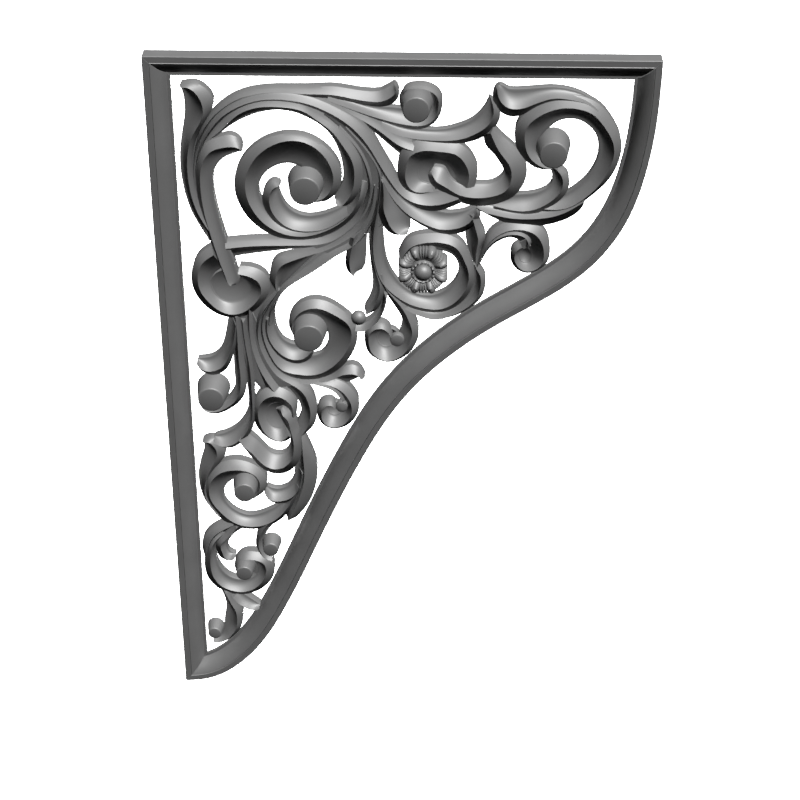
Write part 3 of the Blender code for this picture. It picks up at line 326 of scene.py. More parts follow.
        (68.5, 324, 65.8, 331, 3), (67, 323, 64.8, 326.5, 1),
    ),
    "upper leaf of the lowest scroll": (
        (46, 358, 40, 352.5, 1.5), (38, 363, 31, 356, 3), (32, 368, 24, 361, 4),
        (27.5, 373, 19.3, 368, 5), (24.3, 377.5, 18, 375.5, 4), (21.5, 382, 19, 381.3, 1),
    ),
    "inner leaf of the lowest scroll": (
        (48, 360, 43, 355, 1.5), (40, 367, 34, 364, 3), (36.8, 373, 28.3, 371, 4),
        (36.4, 377, 28.5, 379.5, 5), (37.7, 379.8, 32, 385.7, 4.5), (39.2, 381, 37, 387.3, 3.5),
        (40.6, 381.8, 40.8, 385.5, 2), (41.7, 382.3, 42.1, 383.6, 0.6),
    ),
    "stem of the lowest knob": (
        (74, 350, 63, 354, 3), (67, 359, 58, 364, 3.5), (64, 365, 57, 372, 3.5),
        (64, 371, 59, 379.5, 3.5), (66, 375, 63.5, 385.5, 3.5), (69, 377.5, 68.5, 386, 2),
    ),
    "stem of the bottom ball": (
        (29, 411, 37, 415, 4), (32.5, 422, 41, 424.5, 3.5), (33, 430, 44.7, 432, 4),
        (31.8, 436, 45, 439, 4), (31, 443, 43.5, 446.5, 3.5), (30, 448, 39, 454, 3.5),
        (28.5, 452.5, 33, 459.3, 3), (26, 455, 26.5, 461.5, 2.6), (23, 456.3, 22, 459.5, 1),
    ),
    "lowest leaf": (
        (44, 416, 37, 418, 2), (48.5, 418.5, 41.5, 425.5, 3), (51.5, 421, 46, 429.5, 4),
        (54.5, 423.5, 51.5, 431.5, 3.5), (57, 425.6, 56, 430, 2), (58.4, 426.8, 58.8, 428, 0.6),
    ),
    "top leaf of the right scroll": (
        (290, 34.5, 285, 34, 1.2), (281, 27, 278, 30.5, 2), (271, 22.3, 268, 29, 3),
        (260, 20.3, 258, 29.3, 4), (248, 20.8, 246, 34, 5), (239, 21.6, 238, 38.8, 6.5),
        (232.5, 21.8, 229, 39, 7), (229, 21, 222, 33, 6), (226.5, 19.5, 220, 25.5, 4),
        (224.3, 18.6, 221.8, 20.2, 0.8),
    ),
    "inner leaf of the right scroll": (
        (222, 98, 222, 104, 2), (236, 94.5, 238, 107.5, 4), (246, 93.6, 250, 107, 5),
        (254, 91, 261, 101, 5), (258.5, 87, 268.5, 93, 5), (259.6, 82.5, 270.6, 85, 4.5),
        (259, 79, 268.5, 77.7, 3.5), (258.3, 76.7, 263, 74, 1),
    ),
    "under leaf of the right scroll": (
        (212, 99, 211, 104.5, 1.2), (222, 101, 221, 110, 4), (235, 103, 234, 115.2, 6.5),
        (248, 104, 249, 116.4, 7.5), (259, 102, 262, 114, 7), (268, 97, 273, 109, 6.5),
        (274, 93, 279.5, 102.5, 4.5), (279, 92, 281.3, 97, 1.2),
    ),
    "inner stem of the hooked cup": (
        (214.5, 144, 213, 142.5, 0.6), (219, 134.5, 216.5, 132, 1.2),
        (225.5, 126.7, 223.3, 123.2, 1.6), (232.5, 123.2, 232, 119, 1.8),
        (238.5, 123.5, 240, 119, 2), (241.8, 126, 245.5, 122.3, 2), (242.5, 129, 247.5, 128, 2),
        (242.8, 130.8, 245.5, 132, 1),
    ),
    "inner stem of the right cup": (
        (97, 236.8, 97.5, 234.8, 0.6), (106, 239.3, 107, 237.2, 1),
        (113.3, 242.3, 115, 239.5, 1.2), (118.3, 247, 120.8, 244.5, 1.4),
        (120, 252, 123.3, 250.8, 1.5), (119.8, 255.8, 123.3, 257.3, 1.5),
    ),
    "small leaf": (
        (203, 110, 211, 106, 3), (203.7, 119, 215, 117, 4), (204.7, 128, 217.3, 124, 5),
        (207, 136, 215, 132, 4), (209.8, 144, 213.2, 144, 1.5),
    ),
}

# Low backing that closes the valleys between strands
webs = {
    "trunk web": (
        (122.4, 52, 135.6, 50, 1), (131.5, 64, 143, 66, 1), (133.5, 80, 150.5, 80, 1),
        (134.5, 90, 152, 91, 1), (132, 101, 151, 104, 1), (127, 110, 150, 116, 1),
        (120, 118, 144, 121, 1), (111, 126.5, 131, 131, 1), (100, 132, 117, 140, 1),
    ),
    "arch web": (
        (35, 130, 42, 130, 1), (30.6, 118, 37, 118, 1), (26.4, 104, 32, 104, 1),
        (25.5, 88, 32, 88, 1), (26.5, 72, 33.5, 74, 1), (31, 57, 38, 62, 1), (38, 46, 44, 51, 1),
    ),
    "root web": (
        (71, 157, 78, 157, 1), (68, 168, 79, 166, 1), (63, 178, 75.5, 176, 1),
        (54, 188, 73, 188, 1),
    ),
    "flute web": (
        (49, 186, 62, 182, 1), (51.5, 205, 70, 205, 1), (55.5, 222, 77, 222, 1),
        (60, 235, 84, 231, 1), (66, 244, 88, 240, 1),
    ),
    "hook web": (
        (238, 130.5, 244, 126, 1), (242, 134, 247.5, 131, 1),
    ),
    "lobe web": (
        (113, 40.5, 117, 35.5, 1), (121, 47.5, 126, 42, 1), (126.5, 56, 131, 50, 1),
    ),
    "lowest web": (
        (52, 381, 62, 383, 1), (52, 391, 63, 391, 1), (51, 398, 61, 400, 1),
    ),
}

# Curls round a bowl
cups = {
    "left cup": (
        (43, 151, 37, 133, 5), (38.5, 154, 27.5, 140.5, 5), (36, 158.5, 22.8, 152, 5),
        (35.5, 164, 22.7, 163.5, 5.5), (37.5, 170, 27.5, 174.5, 6), (42, 174.5, 36.5, 183.2, 5.5),
        (48, 176, 47.5, 187, 5), (54.5, 174.5, 58.5, 184.8, 5), (59, 170.5, 68.5, 176.3, 5),
        (60.5, 166, 74.3, 165.5, 5.5), (59.5, 161.5, 73, 155.5, 6), (56.5, 158.5, 66, 149.5, 6),
        (52.5, 156.5, 55, 147.7, 4),
    ),
    "upper cup": (
        (181, 88, 184, 91, 1.5), (178, 87, 178, 93.8, 3), (175, 85, 167, 92.5, 4),
        (173.5, 81, 160.2, 83, 5), (174, 77, 160, 73, 5.5), (176.5, 73.5, 164, 61.5, 6),
        (181, 71.5, 175, 56.2, 6), (186.5, 71.5, 189, 56.5, 6), (191.5, 74, 200, 59, 6),
        (195, 78, 208, 67, 6), (196.5, 82, 211.5, 77, 6), (196, 86, 209.5, 88.5, 5),
    ),
    "middle cup": (
        (145.5, 148, 150, 152, 1.5), (147.5, 158, 154, 163, 2), (151, 167, 160.5, 170.5, 2.5),
        (156, 175.5, 167, 178, 3.5), (161, 184, 171.5, 185.5, 4.5), (162.5, 190.5, 174, 196, 5),
        (161, 197, 172.5, 204, 5), (158.5, 203, 168, 212, 4), (156, 207, 161, 217.5, 3.5),
        (152, 209, 153, 220, 3.5), (148.5, 208, 145.5, 217.7, 3.5), (146.5, 205, 139.5, 212, 3.5),
        (146, 202, 137.3, 203, 3), (147, 199, 138.3, 194.5, 3), (148.5, 197.5, 143, 190, 3),
        (151, 198, 149.5, 189, 3), (153, 199.5, 154.5, 193, 2.5), (154, 200.5, 156.3, 198.5, 1),
    ),
    "lower cup": (
        (80.5, 272, 85.5, 281, 4), (78, 274.5, 80.5, 285, 4), (74, 274.5, 73, 284.5, 4),
        (70.5, 271.5, 64.5, 277.8, 4), (68.8, 266, 59.5, 266, 4.3), (69.3, 260.5, 60.7, 252, 4.5),
        (71.5, 257, 66.5, 243.5, 5), (75.5, 255.5, 76, 240.7, 5), (79, 256.5, 84, 243.5, 5),
        (82, 260, 90, 252, 4), (83, 264, 89.5, 262, 2),
    ),
    "right cup": (
        (93, 238, 92, 234.5, 1), (101, 239, 102, 234, 1.5), (109, 242, 112, 233, 3),
        (115.5, 246, 123, 236.5, 4.5), (119, 250.5, 130, 244, 5), (121, 255, 133, 253, 5),
        (121, 260, 131, 263, 4.5), (118.5, 263, 125, 270.5, 4), (115.5, 264, 117, 273.7, 4),
        (113, 263, 110, 272.5, 4), (111.5, 261, 105.3, 267, 3.5), (111, 258.5, 103.8, 259.5, 3.5),
        (111.5, 256.5, 106, 253, 3), (113, 255.5, 110.5, 250.2, 2.5), (114.5, 256, 115, 251, 2),
        (115.3, 257, 117.2, 254.5, 1),
    ),
    "hooked cup": (
        (213.5, 148, 211.5, 144, 1.2), (217.5, 139, 215.5, 131, 3), (221.5, 133, 219, 122.5, 4),
        (227, 128.5, 225, 116.5, 4.5), (233, 126.3, 233, 113, 4.5), (238, 127.5, 243, 112.8, 4.5),
        (242.5, 131, 252.5, 116.2, 5), (246, 135, 258, 123.5, 5), (247.5, 138, 260, 133, 4.5),
        (247.5, 141, 258.8, 141.5, 4), (246, 143.5, 254.5, 147.3, 4), (243.5, 144, 246, 150.8, 4),
        (241.5, 143, 238.5, 148, 3.5), (240.5, 140.5, 234.7, 142, 3),
        (240.5, 137.5, 234.3, 135, 2.5), (241.5, 135.5, 237, 130.5, 2),
        (242.5, 134.5, 240.3, 129.3, 1),
    ),
}

# Volutes that wind round a knob or the rosette
scrolls = {
    "right scroll": (
        (243, 97, 247, 105, 3), (256, 97, 263, 105.5, 3), (266, 94.5, 275, 102, 3.5),
        (275, 88.5, 287.5, 92, 4), (281, 82.5, 294, 85, 4.5), (285.5, 75, 299.3, 76, 5),
        (288, 67, 302.5, 64.5, 5), (287.5, 56, 301.5, 52, 5.5), (283.5, 48.5, 295.5, 40.5, 6),
        (277, 43.5, 286, 30, 6.5), (270, 41.8, 272, 25, 7), (263, 43, 258, 27, 6),
        (257.5, 47, 245, 34, 5.5), (252, 53, 236.5, 43, 6), (250, 59, 234.5, 52, 7),
        (250, 64, 236.5, 62.5, 6.5), (252.5, 67.5, 243, 71, 5), (256, 69, 250.5, 75.5, 4),
        (259, 69, 258, 76.2, 2),
    ),
    "rosette scroll": (
        (129.3, 46.2, 126.6, 47, 0.6), (142.8, 65, 140.8, 65.6, 0.8), (150, 80, 147.3, 80.5, 1.2),
        (149.8, 91, 147.2, 91, 1.3), (149, 103, 145.3, 103.5, 1.8), (149.6, 112, 143, 114, 2.4),
        (150.3, 122, 141.3, 127, 3), (151.5, 137, 142, 142, 3), (155, 150, 147, 158.5, 3.5),
        (161, 159.5, 155, 168.5, 4), (168.5, 166, 165, 176, 4.5), (178, 169, 176.5, 180.3, 5),
        (188, 167, 190.5, 180.5, 5), (195, 161.5, 202, 173.5, 5), (199.3, 154, 209.5, 161, 4.5),
        (200, 147, 210.6, 150, 4), (197.5, 141, 208, 140, 4), (192, 137, 202, 128.5, 4),
        (184, 135, 191, 122.8, 4.5), (177, 134.5, 178, 122.5, 4.5), (171, 138, 166.5, 126.5, 4.5),
        (168, 144, 160.3, 137, 3),
    ),
    "middle scroll": (
        (80, 168, 74, 172, 1.8), (76.5, 184, 67.5, 186, 2), (78, 198, 67, 201, 2.5),
        (83, 207, 71.5, 216, 3), (88.5, 212.5, 79, 228, 4), (96, 216, 91, 233.8, 6),
        (103.5, 216, 104, 234, 6), (109, 213, 116.5, 228.3, 6), (112, 207, 126.5, 217.5, 5.5),
        (112.5, 200, 132, 204, 4.5), (110, 193, 131, 190, 3.5), (106, 188, 122.5, 180.2, 4.5),
        (100, 185, 108, 172.5, 5), (94.5, 187, 95, 175, 5), (92, 192, 87.5, 184, 4),
        (92, 197, 86.3, 192, 3.5), (93, 200, 89.5, 201, 2),
    ),
    "fourth scroll": (
        (84, 320, 93, 320, 3), (79.5, 331, 88.5, 332, 4), (74.5, 339, 82, 343.5, 4),
        (68, 343.5, 73, 353, 4.5), (60.5, 347, 62, 358.5, 5), (53, 348.3, 50, 359.3, 5.5),
        (45, 345.5, 38, 355, 6), (38.5, 339.5, 28.5, 345.5, 6), (35.5, 332, 22, 331, 5),
        (36.5, 325.5, 24, 315, 4.5), (39.5, 321, 33, 304.5, 5), (45, 317, 44, 300.5, 6),
        (50, 316, 54, 302.3, 5), (54.5, 317, 63, 308.3, 4.5), (56.5, 320, 67, 316, 5),
        (56.5, 323, 66, 323.5, 4.5), (55, 326, 62, 329.5, 3), (54, 327, 58, 331.5, 1),
    ),
    "lowest scroll": (
        (38, 366, 33, 362.5, 2), (31, 372, 24.5, 369, 3), (28, 379, 20.5, 378.5, 4),
        (28, 387, 19, 389, 5), (31, 395, 20.8, 402.5, 6), (35.5, 400.5, 27.5, 411.8, 6),
        (41, 403.5, 37, 416.7, 6), (46.5, 404, 48, 417.3, 5.5), (52, 402.5, 58.5, 413, 5.5),
        (56.5, 399, 66, 405.5, 6), (58, 394, 70, 394.5, 6), (56.5, 389.5, 67.5, 384.5, 5.5),
        (52, 387, 59, 379.8, 5), (48.5, 387.5, 50, 379.3, 4), (46, 390, 43.5, 383.5, 3),
        (45.5, 393, 40.7, 391, 2), (46, 396, 42.5, 399, 1),
    ),
}

# Strands whose hollow lies higher: a raised strap, and the stems that carry a knob
hollowFloors = {
    "lower leaf": 8.6,
    "stem of the lowest knob": 7.6,
    "lowest scroll": 7,
    "stem of the bottom ball": 7,
    "lowest leaf": 7,
}

# The share of a strand over which its ridge falls again at the end
ridgeFall = {"upper wrap": 0.3, "hanging lobe": 0.1}

# Reeds of the arch, side by side
reeds = {
    "outer reed": (
        (29.3, 100, 28.6, 100, 0.3), (28.8, 85, 27.8, 85, 0.4), (30.4, 70, 28.8, 69.3, 0.7),
        (35.2, 55.5, 32.8, 53.5, 1.3), (41.5, 44.5, 38.8, 42.3, 1.8), (50, 36, 48, 32.7, 2),
        (60, 30, 59, 25.9, 2), (72, 26, 72, 22.3, 2), (88, 25, 88, 21.2, 2.2),
        (105, 28, 105, 21, 3), (120, 29, 120, 20.5, 4), (132, 31.5, 132, 22.3, 4.5),
        (142, 33.6, 142, 23.5, 5), (151, 34, 149, 23, 5.5), (158, 31, 153, 21, 5.5),
        (161, 25, 156, 19.3, 4), (160, 20, 158, 18, 1.2),
    ),
    "middle reed": (
        (29.3, 100, 30, 100, 0.3), (28.9, 85, 29.7, 85, 0.4), (30.3, 70.5, 31.8, 71.5, 0.8),
        (35, 56, 37.2, 58, 1.4), (41.3, 45, 44, 48.3, 2.2), (50.3, 35.8, 52.3, 40.3, 2.6),
        (60, 29.8, 61, 35.2, 2.7), (72, 25.8, 72, 31.5, 2.8), (88, 24.6, 88, 31, 3),
        (105, 27, 104, 34.5, 3.5), (120, 33.3, 119, 42, 4), (130, 38.8, 129, 50, 5),
        (140, 46.8, 139, 61, 5), (150, 64, 149, 77.8, 4.5), (157, 77, 155, 88, 4),
        (161, 85, 161, 95.5, 4), (167, 91, 169, 102, 5), (176, 93, 178, 105.8, 6),
        (188, 91, 190, 105, 6), (197, 88, 201, 100, 5),
    ),
}

# Links that stand above the rest
links = {
    "upper link": (
        (183.5, 74.5, 179.5, 80.5, 3), (189.5, 75.5, 181.5, 87, 6), (193.5, 81.5, 190.5, 93.5, 7),
        (200, 86.5, 199.5, 99.3, 8), (210, 86.5, 211, 102.2, 9), (219, 86.3, 222.5, 101, 9),
        (226, 82.5, 235.5, 94.5, 9), (228, 77.5, 242.5, 82, 10), (225.5, 72.5, 242, 70.5, 10),
        (220.5, 65.5, 233, 58.5, 8), (216, 60, 225.5, 51.5, 5), (214.5, 54, 221, 46, 3),
    ),
    "lower link": (
        (75, 260, 80, 257, 2), (77.5, 265.5, 87, 261, 4), (80.5, 272, 90, 270, 4.5),
        (83.8, 280, 92.2, 281, 5), (84, 288, 92.3, 291, 5.5), (81.5, 293.5, 89.5, 302, 7),
        (76, 296, 80, 311, 8.5), (70.5, 294.3, 71, 311.3, 8.5), (66, 289.5, 62.5, 306, 8),
        (61.5, 284, 56, 297, 6.5), (57.5, 280, 50, 288, 4), (54, 276, 47, 282, 3),
    ),
}

# The largest volute: a stem, then the radii of its hollow and chamfered edges and its
# chamfer width at every eighth of a turn round its centre, starting at the bottom
largeStem = ((133, 84, 140, 86, 3), (130, 96, 138.3, 97, 3.5), (122.5, 107, 131, 111, 4))
largeStem += ((111, 113.5, 117, 122.5, 4.5),)
largeCentre = (100.0, 86.0)
largeTurns = (
    (32, 42.5, 5), (32.5, 46, 6.5), (29, 46, 7.5), (16.5, 39.2, 5), (8, 32, 3), (8, 26.3, 4.5),
    (8, 23.5, 5.3), (8, 19.3, 4), (8, 14.5, 2.5),
)

# Ridge heights that differ from the usual, and the share of a strand over which its ridge rises
ridgeTops = {
    "large scroll": 11.5,
    "leaf under the left knob": 13,
    "left leaf of the fourth scroll": 11,
    "upper leaf of the lowest scroll": 12.5,
    "inner leaf of the large scroll": 12.3,
    "rosette scroll": 12.4,
}
ridgeRise = {
    "right scroll": 0.14,
    "lower leaf": 0.05,
    "lowest scroll": 0.12,
    "right leaf of the fourth scroll": 0.2,
    "large scroll": 0.1,
    "under leaf of the right scroll": 0.1,
    "inner leaf of the right scroll": 0.2,
    "lower link": 0.05,
    "upper link": 0.12,
}

# Heights in millimetres from the flat back. Of the curves, 1 is a straight slope from a
# hollow's inner edge to the ridge, and more is a deeper hollow.
carving = {
    "wall": 7.0,
    "ridge": 12.0,
    "hollow": 5.2,  # inner edge of a strand's hollow
    "hollowCurve": 2.1,
    "reedValley": 7.2,
    "reedCurve": 1.15,
    "linkRidge": 14.5,
    "linkCurve": 1.25,
    "bowl": 4.0,
    "bowlEdge": 4.4,
    "cupCurve": 1.3,
    "web": 5.9,
    "webRidge": 6.4,
    "edgeRound": 0.7,
    "chamferBulge": 0.25,
    "cutsPerPoint": 8,  # how finely each strand is cut along its length
    "hollowSteps": 10,
}


def strand(name, rows, top="ridge", wall="wall", floor="hollow", curve="hollowCurve"):
    # Hollow from the floor edge up to the ridge, then a chamfer down to the wall
    wall, curve = carving[wall], carving[curve]
    top = ridgeTops.get(name, carving[top])
    floor = hollowFloors.get(name, carving[floor])
    rise = ridgeRise.get(name, 0)
    fall = ridgeFall.get(name, 0)
    sections = []
    count = (len(rows) - 1) * carving["cutsPerPoint"] + 1
    for n, (floorX, floorDrop, rimX, rimDrop, lip) in enumerate(spline(rows, count)):
        grown = min(1, n / (rise * count)) if rise else 1
        grown *= min(1, (count - 1 - n) / (fall * count)) if fall else 1
        across = max(math.dist((floorX, floorDrop), (rimX, rimDrop)), 0.1)
        ridge = across - min(max(lip, 0.2), 0.85 * across)
        crest = wall + (top - wall) * min(1, across / 4) * math.sin(grown * math.pi / 2)
        edge = min(carving["edgeRound"], 0.25 * ridge)
        shape = [(0, 0), (0, floor - edge), (edge * 0.3, floor - edge * 0.25)]
        for step in range(carving["hollowSteps"] + 1):
            share = step / carving["hollowSteps"]
            shape.append((edge + (ridge - edge) * share, floor + (crest - floor) * share**curve))
        for share in (0.33, 0.67):
            bulge = carving["chamferBulge"] * min(1, across / 8)
            shape.append((ridge + (across - ridge) * share, crest + (wall - crest) * share + bulge))
        shape += [(across, wall), (across, 0)]
        step = ((rimX - floorX) / across, (rimDrop - floorDrop) / across)
        sections.append([(floorX + t * step[0], floorDrop + t * step[1], h) for t, h in shape])
    return loft(name, sections)


def largeRows():
    rows = list(largeStem)
    for step, (near, far, lip) in enumerate(largeTurns):
        angle = math.radians(270 - 45 * step)
        across = (math.cos(angle), -math.sin(angle))
        rows.append(
            (
                largeCentre[0] + near * across[0],
                largeCentre[1] + near * across[1],
                largeCentre[0] + far * across[0],
                largeCentre[1] + far * across[1],
                lip,
            )
        )
    return rows


def turned(name, centre, rings, sides, wave=None, squash=1):
    # A round solid from rings of (radius, height); wave(angle, ring) changes both
    sections = []
    for n, (radius, height) in enumerate(rings):
        section = []
        for i in range(sides):
            angle = 2 * math.pi * i / sides
            reach, rise = wave(angle, n) if wave else (0, 0)
            section.append(
                (
                    centre[0] + (radius + reach) * math.cos(angle),
                    centre[1] + (radius + reach) * math.sin(angle) * squash,
                    height + rise,
                )
            )
        sections.append(section)
    return loft(name, sections)


knobs = {
    "taper": 0.14,  # mm of radius per mm of height
    "bevel": 0.9,
    "sides": 56,
    # x and drop of the front face, its radius, and the heights of its two ends
    "places": (
        (171.9, 31.3, 8.5, 0, 19), (259.1, 61.1, 8.9, 0, 19), (100.4, 88.0, 9.7, 0, 19),
        (100.2, 196.1, 9.8, 0, 19), (32.2, 244.9, 8.9, 0, 19), (52.0, 321.0, 7.2, 0, 19),
        (68.8, 369.3, 5.3, 6.6, 19), (49.0, 390.6, 5.7, 0, 19), (24.6, 446.5, 4.7, 5.5, 17),
    ),
}
ball = (133.5, 185.0, 5.1, 8.5)  # x, drop, radius, height of its middle
buttons = ((159.4, 201, 4.7, 7, 11.5), (121.2, 254, 4, 7, 11.5))  # x, drop, radius, heights
bowls = {
    "dish": 2.6,  # how much deeper a bowl is in the middle than at its rim
    "rimShare": 0.79,
    "sides": 48,
    # x and drop of the middle, radius under the curl, radius of the dish, drop per width
    "places": (
        (48, 164.5, 15, 14, 0.92), (185, 80, 15, 13, 0.83), (152.5, 203, 9.5, 8.4, 0.95),
        (76, 265, 9, 8.3, 1.25), (116.3, 259.7, 7, 6.1, 0.95), (244, 139.2, 5.5, 4.7, 1.3),
    ),
}


def knobSolid(x, down, radius, low, high):
    bevel = knobs["bevel"]
    front = radius + knobs["taper"] * bevel
    rings = [(radius + knobs["taper"] * (high - low), low), (front, high - bevel)]
    for turn in (30, 60, 90):
        a = math.radians(turn)
        rings.append((front - bevel * (1 - math.cos(a)), high - bevel * (1 - math.sin(a))))
    return turned("knob", (x, down), rings, knobs["sides"])


def ballSolid(x, down, radius, middle):
    rings = []
    for turn in range(-80, 86, 10):
        a = math.radians(turn)
        rings.append((radius * math.cos(a), middle + radius * math.sin(a)))
    return turned("ball", (x, down), rings, 40)


def buttonSolid(x, down, radius, low, high):
    rings = [(radius, low), (radius, high - 1.2), (radius * 0.93, high - 0.4), (radius * 0.7, high)]
    return turned("button", (x, down), rings, 36)


def bowlSolid(x, down, radius, inner, squash):
    rings = [(radius, 0), (radius, carving["bowl"] - 0.1)]
    for share in (1, 0.85, 0.7, 0.55, 0.4, 0.25, 0.1):
        sunk = bowls["dish"] * (share**2 - bowls["rimShare"])
        rings.append((inner * share, carving["bowl"] + sunk))
    return turned("bowl", (x, down), rings, bowls["sides"], squash=squash)


rosette = {
    "centre": (176.6, 148.4),
    "radius": 17.0,
    "petals": 8,
    "ribShare": 0.5,  # share of each petal's turn that its three ribs take
    "ribRise": 1.9,
    "petalRise": 2.6,
    "groove": 1.7,
    "cutsPerPetal": 36,
    "bead": 8.2,
    "beads": 16,
    "ball": 5.7,
}


def rosetteSolids():
    share = rosette["ribShare"]
    reach = rosette["radius"]
    depths = (0, 0.5, 1, 1, 0.9, 0.6, 0.3, 0)  # how deep each ring is cut between petals
    ends = (1, 1, 1, 0.6, 0, 0, 0, 0)  # how far each ring follows the ends of the petals

    def wave(angle, ring):
        turn = angle * rosette["petals"] / (2 * math.pi)
        off = abs((turn + 0.5) % 1 - 0.5) * 2  # 0 in the middle of the ribs, 1 on a petal
        if off < share:
            rib = abs(math.cos(off / share * math.pi * 1.5))
            rise = rosette["ribRise"] * rib - rosette["groove"]
            end = 0.9 * rib - 1.6
        else:
            swell = math.sin((off - share) / (1 - share) * math.pi / 2)
            rise = rosette["petalRise"] * swell**0.7 - rosette["groove"]
            end = 1.7 * swell**0.6 - 1.4
        return (end * ends[ring], rise * depths[ring])

    rings = [
        (reach, 0),
        (reach + 0.1, 9.5),
        (reach - 0.5, 11.6),
        (reach - 2.2, 13.2),
        (reach - 4.5, 13.6),
        (10.5, 12.6),
        (rosette["bead"] + 0.6, 10.8),
        (rosette["bead"] - 0.5, 10.2),
    ]
    cuts = rosette["petals"] * rosette["cutsPerPetal"]
    flower = turned("flower", rosette["centre"], rings, cuts, wave)
    bead = rosette["bead"]
    dots = rosette["beads"]

    def beads(angle, ring):
        return (0, 0.35 * math.cos(angle * dots) if ring in (2, 3) else 0)

    rings = [(bead, 2), (bead, 12.4), (bead - 0.5, 13.4), (bead - 1.3, 13.7), (bead - 2.2, 12.4)]
    rings.append((bead - 2.6, 10.5))
    rim = turned("rim", rosette["centre"], rings, dots * 8, beads)
    ball = [(rosette["ball"] - 0.6, 2.5), (rosette["ball"] - 0.3, 11)]
    for turn in range(0, 86, 10):
        a = math.radians(turn)
        ball.append((rosette["ball"] * math.cos(a), 13 + 5.2 * math.sin(a)))
    return [flower, rim, turned("centre", rosette["centre"], ball, 48)]


# Rail profile from the outer face inwards: flat band, fine quirk, ovolo, low fillet
wide, deep = bracket["railWidth"], bracket["railDepth"]
railProfile = (
    [(0, 0), (0, 11.8), (0.2, deep), (4.2, deep), (4.45, 11.25), (4.8, 11.6)]
    + [(6, 11.15), (7.7, 10.3), (9.2, 9.35), (10.4, 8.3), (11.5, 7), (12.4, 5.6), (13.2, 4)]
    + [(13.9, 2.4), (wide - 0.15, 2.4), (wide, 2.25), (wide, 0)]
)
# Outer edge of the curved rail, from the top right corner to the bottom left one
curvedEdge = (
    (bracket["width"], 0),
    (323.7, 40), (318.9, 76), (307.8, 112), (285, 145.4), (255, 169.1), (225, 188.6),
    (195, 211.9), (165, 244.2), (135, 294.7), (105, 360.9), (75, 429.3), (45, 474.6), (15, 493.3),
    (0, bracket["drop"]),
)
curvedCuts = 110


def offsetCurve(across):
    # The curved rail's line at a distance inwards from its outer edge, cut at both mitres
    edge = spline(curvedEdge, 60 * len(curvedEdge), 2)
    heading = np.gradient(edge, axis=0)
    heading /= np.linalg.norm(heading, axis=1)[:, None]
    line = edge + np.stack([-heading[:, 1], heading[:, 0]], axis=1) * across
    gap = bracket["jointGap"]
    pastBeam = line[:, 0] + line[:, 1] - bracket["width"]
    pastPost = bracket["drop"] - bracket["lowMitre"] * line[:, 0] - line[:, 1]
    start = int(np.argmax(pastBeam > gap))
    end = len(line) - int(np.argmax(pastPost[::-1] < -gap))
    line = line[start:end]
    run = np.concatenate([[0], np.cumsum(np.linalg.norm(np.diff(line, axis=0), axis=1))])
    places = np.linspace(0, run[-1], curvedCuts + 1)
    return np.stack([np.interp(places, run, line[:, i]) for i in (0, 1)], axis=1)


def curvedRail():
    edges = [offsetCurve(across) for across, _ in railProfile]
    sections = [
        [(*edge[row], height) for edge, (_, height) in zip(edges, railProfile)]
        for row in range(curvedCuts + 1)
    ]
    return loft("curvedRail", sections)


def straightRail(name, start, end, inward, startSlope, endSlope):
    run = np.array(end, float) - np.array(start, float)
    length = float(np.linalg.norm(run))
    run = run / length
    sections = []
    gap = bracket["jointGap"] / 2
    for offset, slope in ((gap, startSlope), (length - gap, -endSlope)):
        section = []
        for across, height in railProfile:
            spot = np.array(start) + run * (offset + slope * across) + np.array(inward) * across
            section.append((spot[0], spot[1], height))
        sections.append(section)
    return loft(name, sections)


def railCutter():
    # The band that the rails fill, through the whole thickness
    reach = bracket["railWidth"] + bracket["jointGap"]
    hole = [(reach, reach)]
    hole += [tuple(point) for point in offsetCurve(reach) if min(point) > reach]
    spare = 40
    right, low = bracket["width"] + spare, bracket["drop"] + spare
    outer = [(-spare, -spare), (right, -spare), (right, low), (-spare, low)]
    slab = loft("slab", [[(x, down, h) for x, down in outer] for h in (-5, 40)])
    core = loft("core", [[(x, down, h) for x, down in hole] for h in (-10, 50)])
    return combine(slab, [core], "DIFFERENCE")


def smooth(piece, angle):
    for face in piece.data.polygons:
        face.use_smooth = True
    piece.data.set_sharp_from_angle(angle=math.radians(angle))


def scrollwork():
    solids = [strand(name, rows) for name, rows in {**leaves, **scrolls}.items()]
    solids.append(strand("large scroll", largeRows()))
    for name, rows in webs.items():
        solids.append(strand(name, rows, top="webRidge", wall="web", floor="web"))
    for name, rows in cups.items():
        solids.append(strand(name, rows, floor="bowlEdge", curve="cupCurve"))
    for name, rows in reeds.items():
        solids.append(strand(name, rows, "ridge", "reedValley", "reedValley", "reedCurve"))
    for name, rows in links.items():
        solids.append(strand(name, rows, top="linkRidge", curve="linkCurve"))
    solids += [knobSolid(*spot) for spot in knobs["places"]]
    solids.append(ballSolid(*ball))
    solids += [buttonSolid(*spot) for spot in buttons]
    solids += [bowlSolid(*spot) for spot in bowls["places"]]
    solids += rosetteSolids()
    carved = combine(solids[0], solids[1:])
    combine(carved, [railCutter()], "DIFFERENCE")
    closeSeams(carved)
    carved.name = "scrollworkCarving"
    return carved


# Paint: a satin graphite grey over fine-grained hardwood, with painted shade darkening its colour
# in the deep cuts
paint = {
    "colour": (0.048, 0.048, 0.048),
    "roughness": 0.57,
    "grainScale": 900,
    "grainDepth": 0.00003,
    "paintedShadeReach": 0.004,
    "paintedShadeFloor": 0.85,  # share of the colour that the painted shade leaves in the deepest cut
    "blotch": 0.04,  # how much lighter and darker the colour goes
    "shineSpread": 0.03,
}


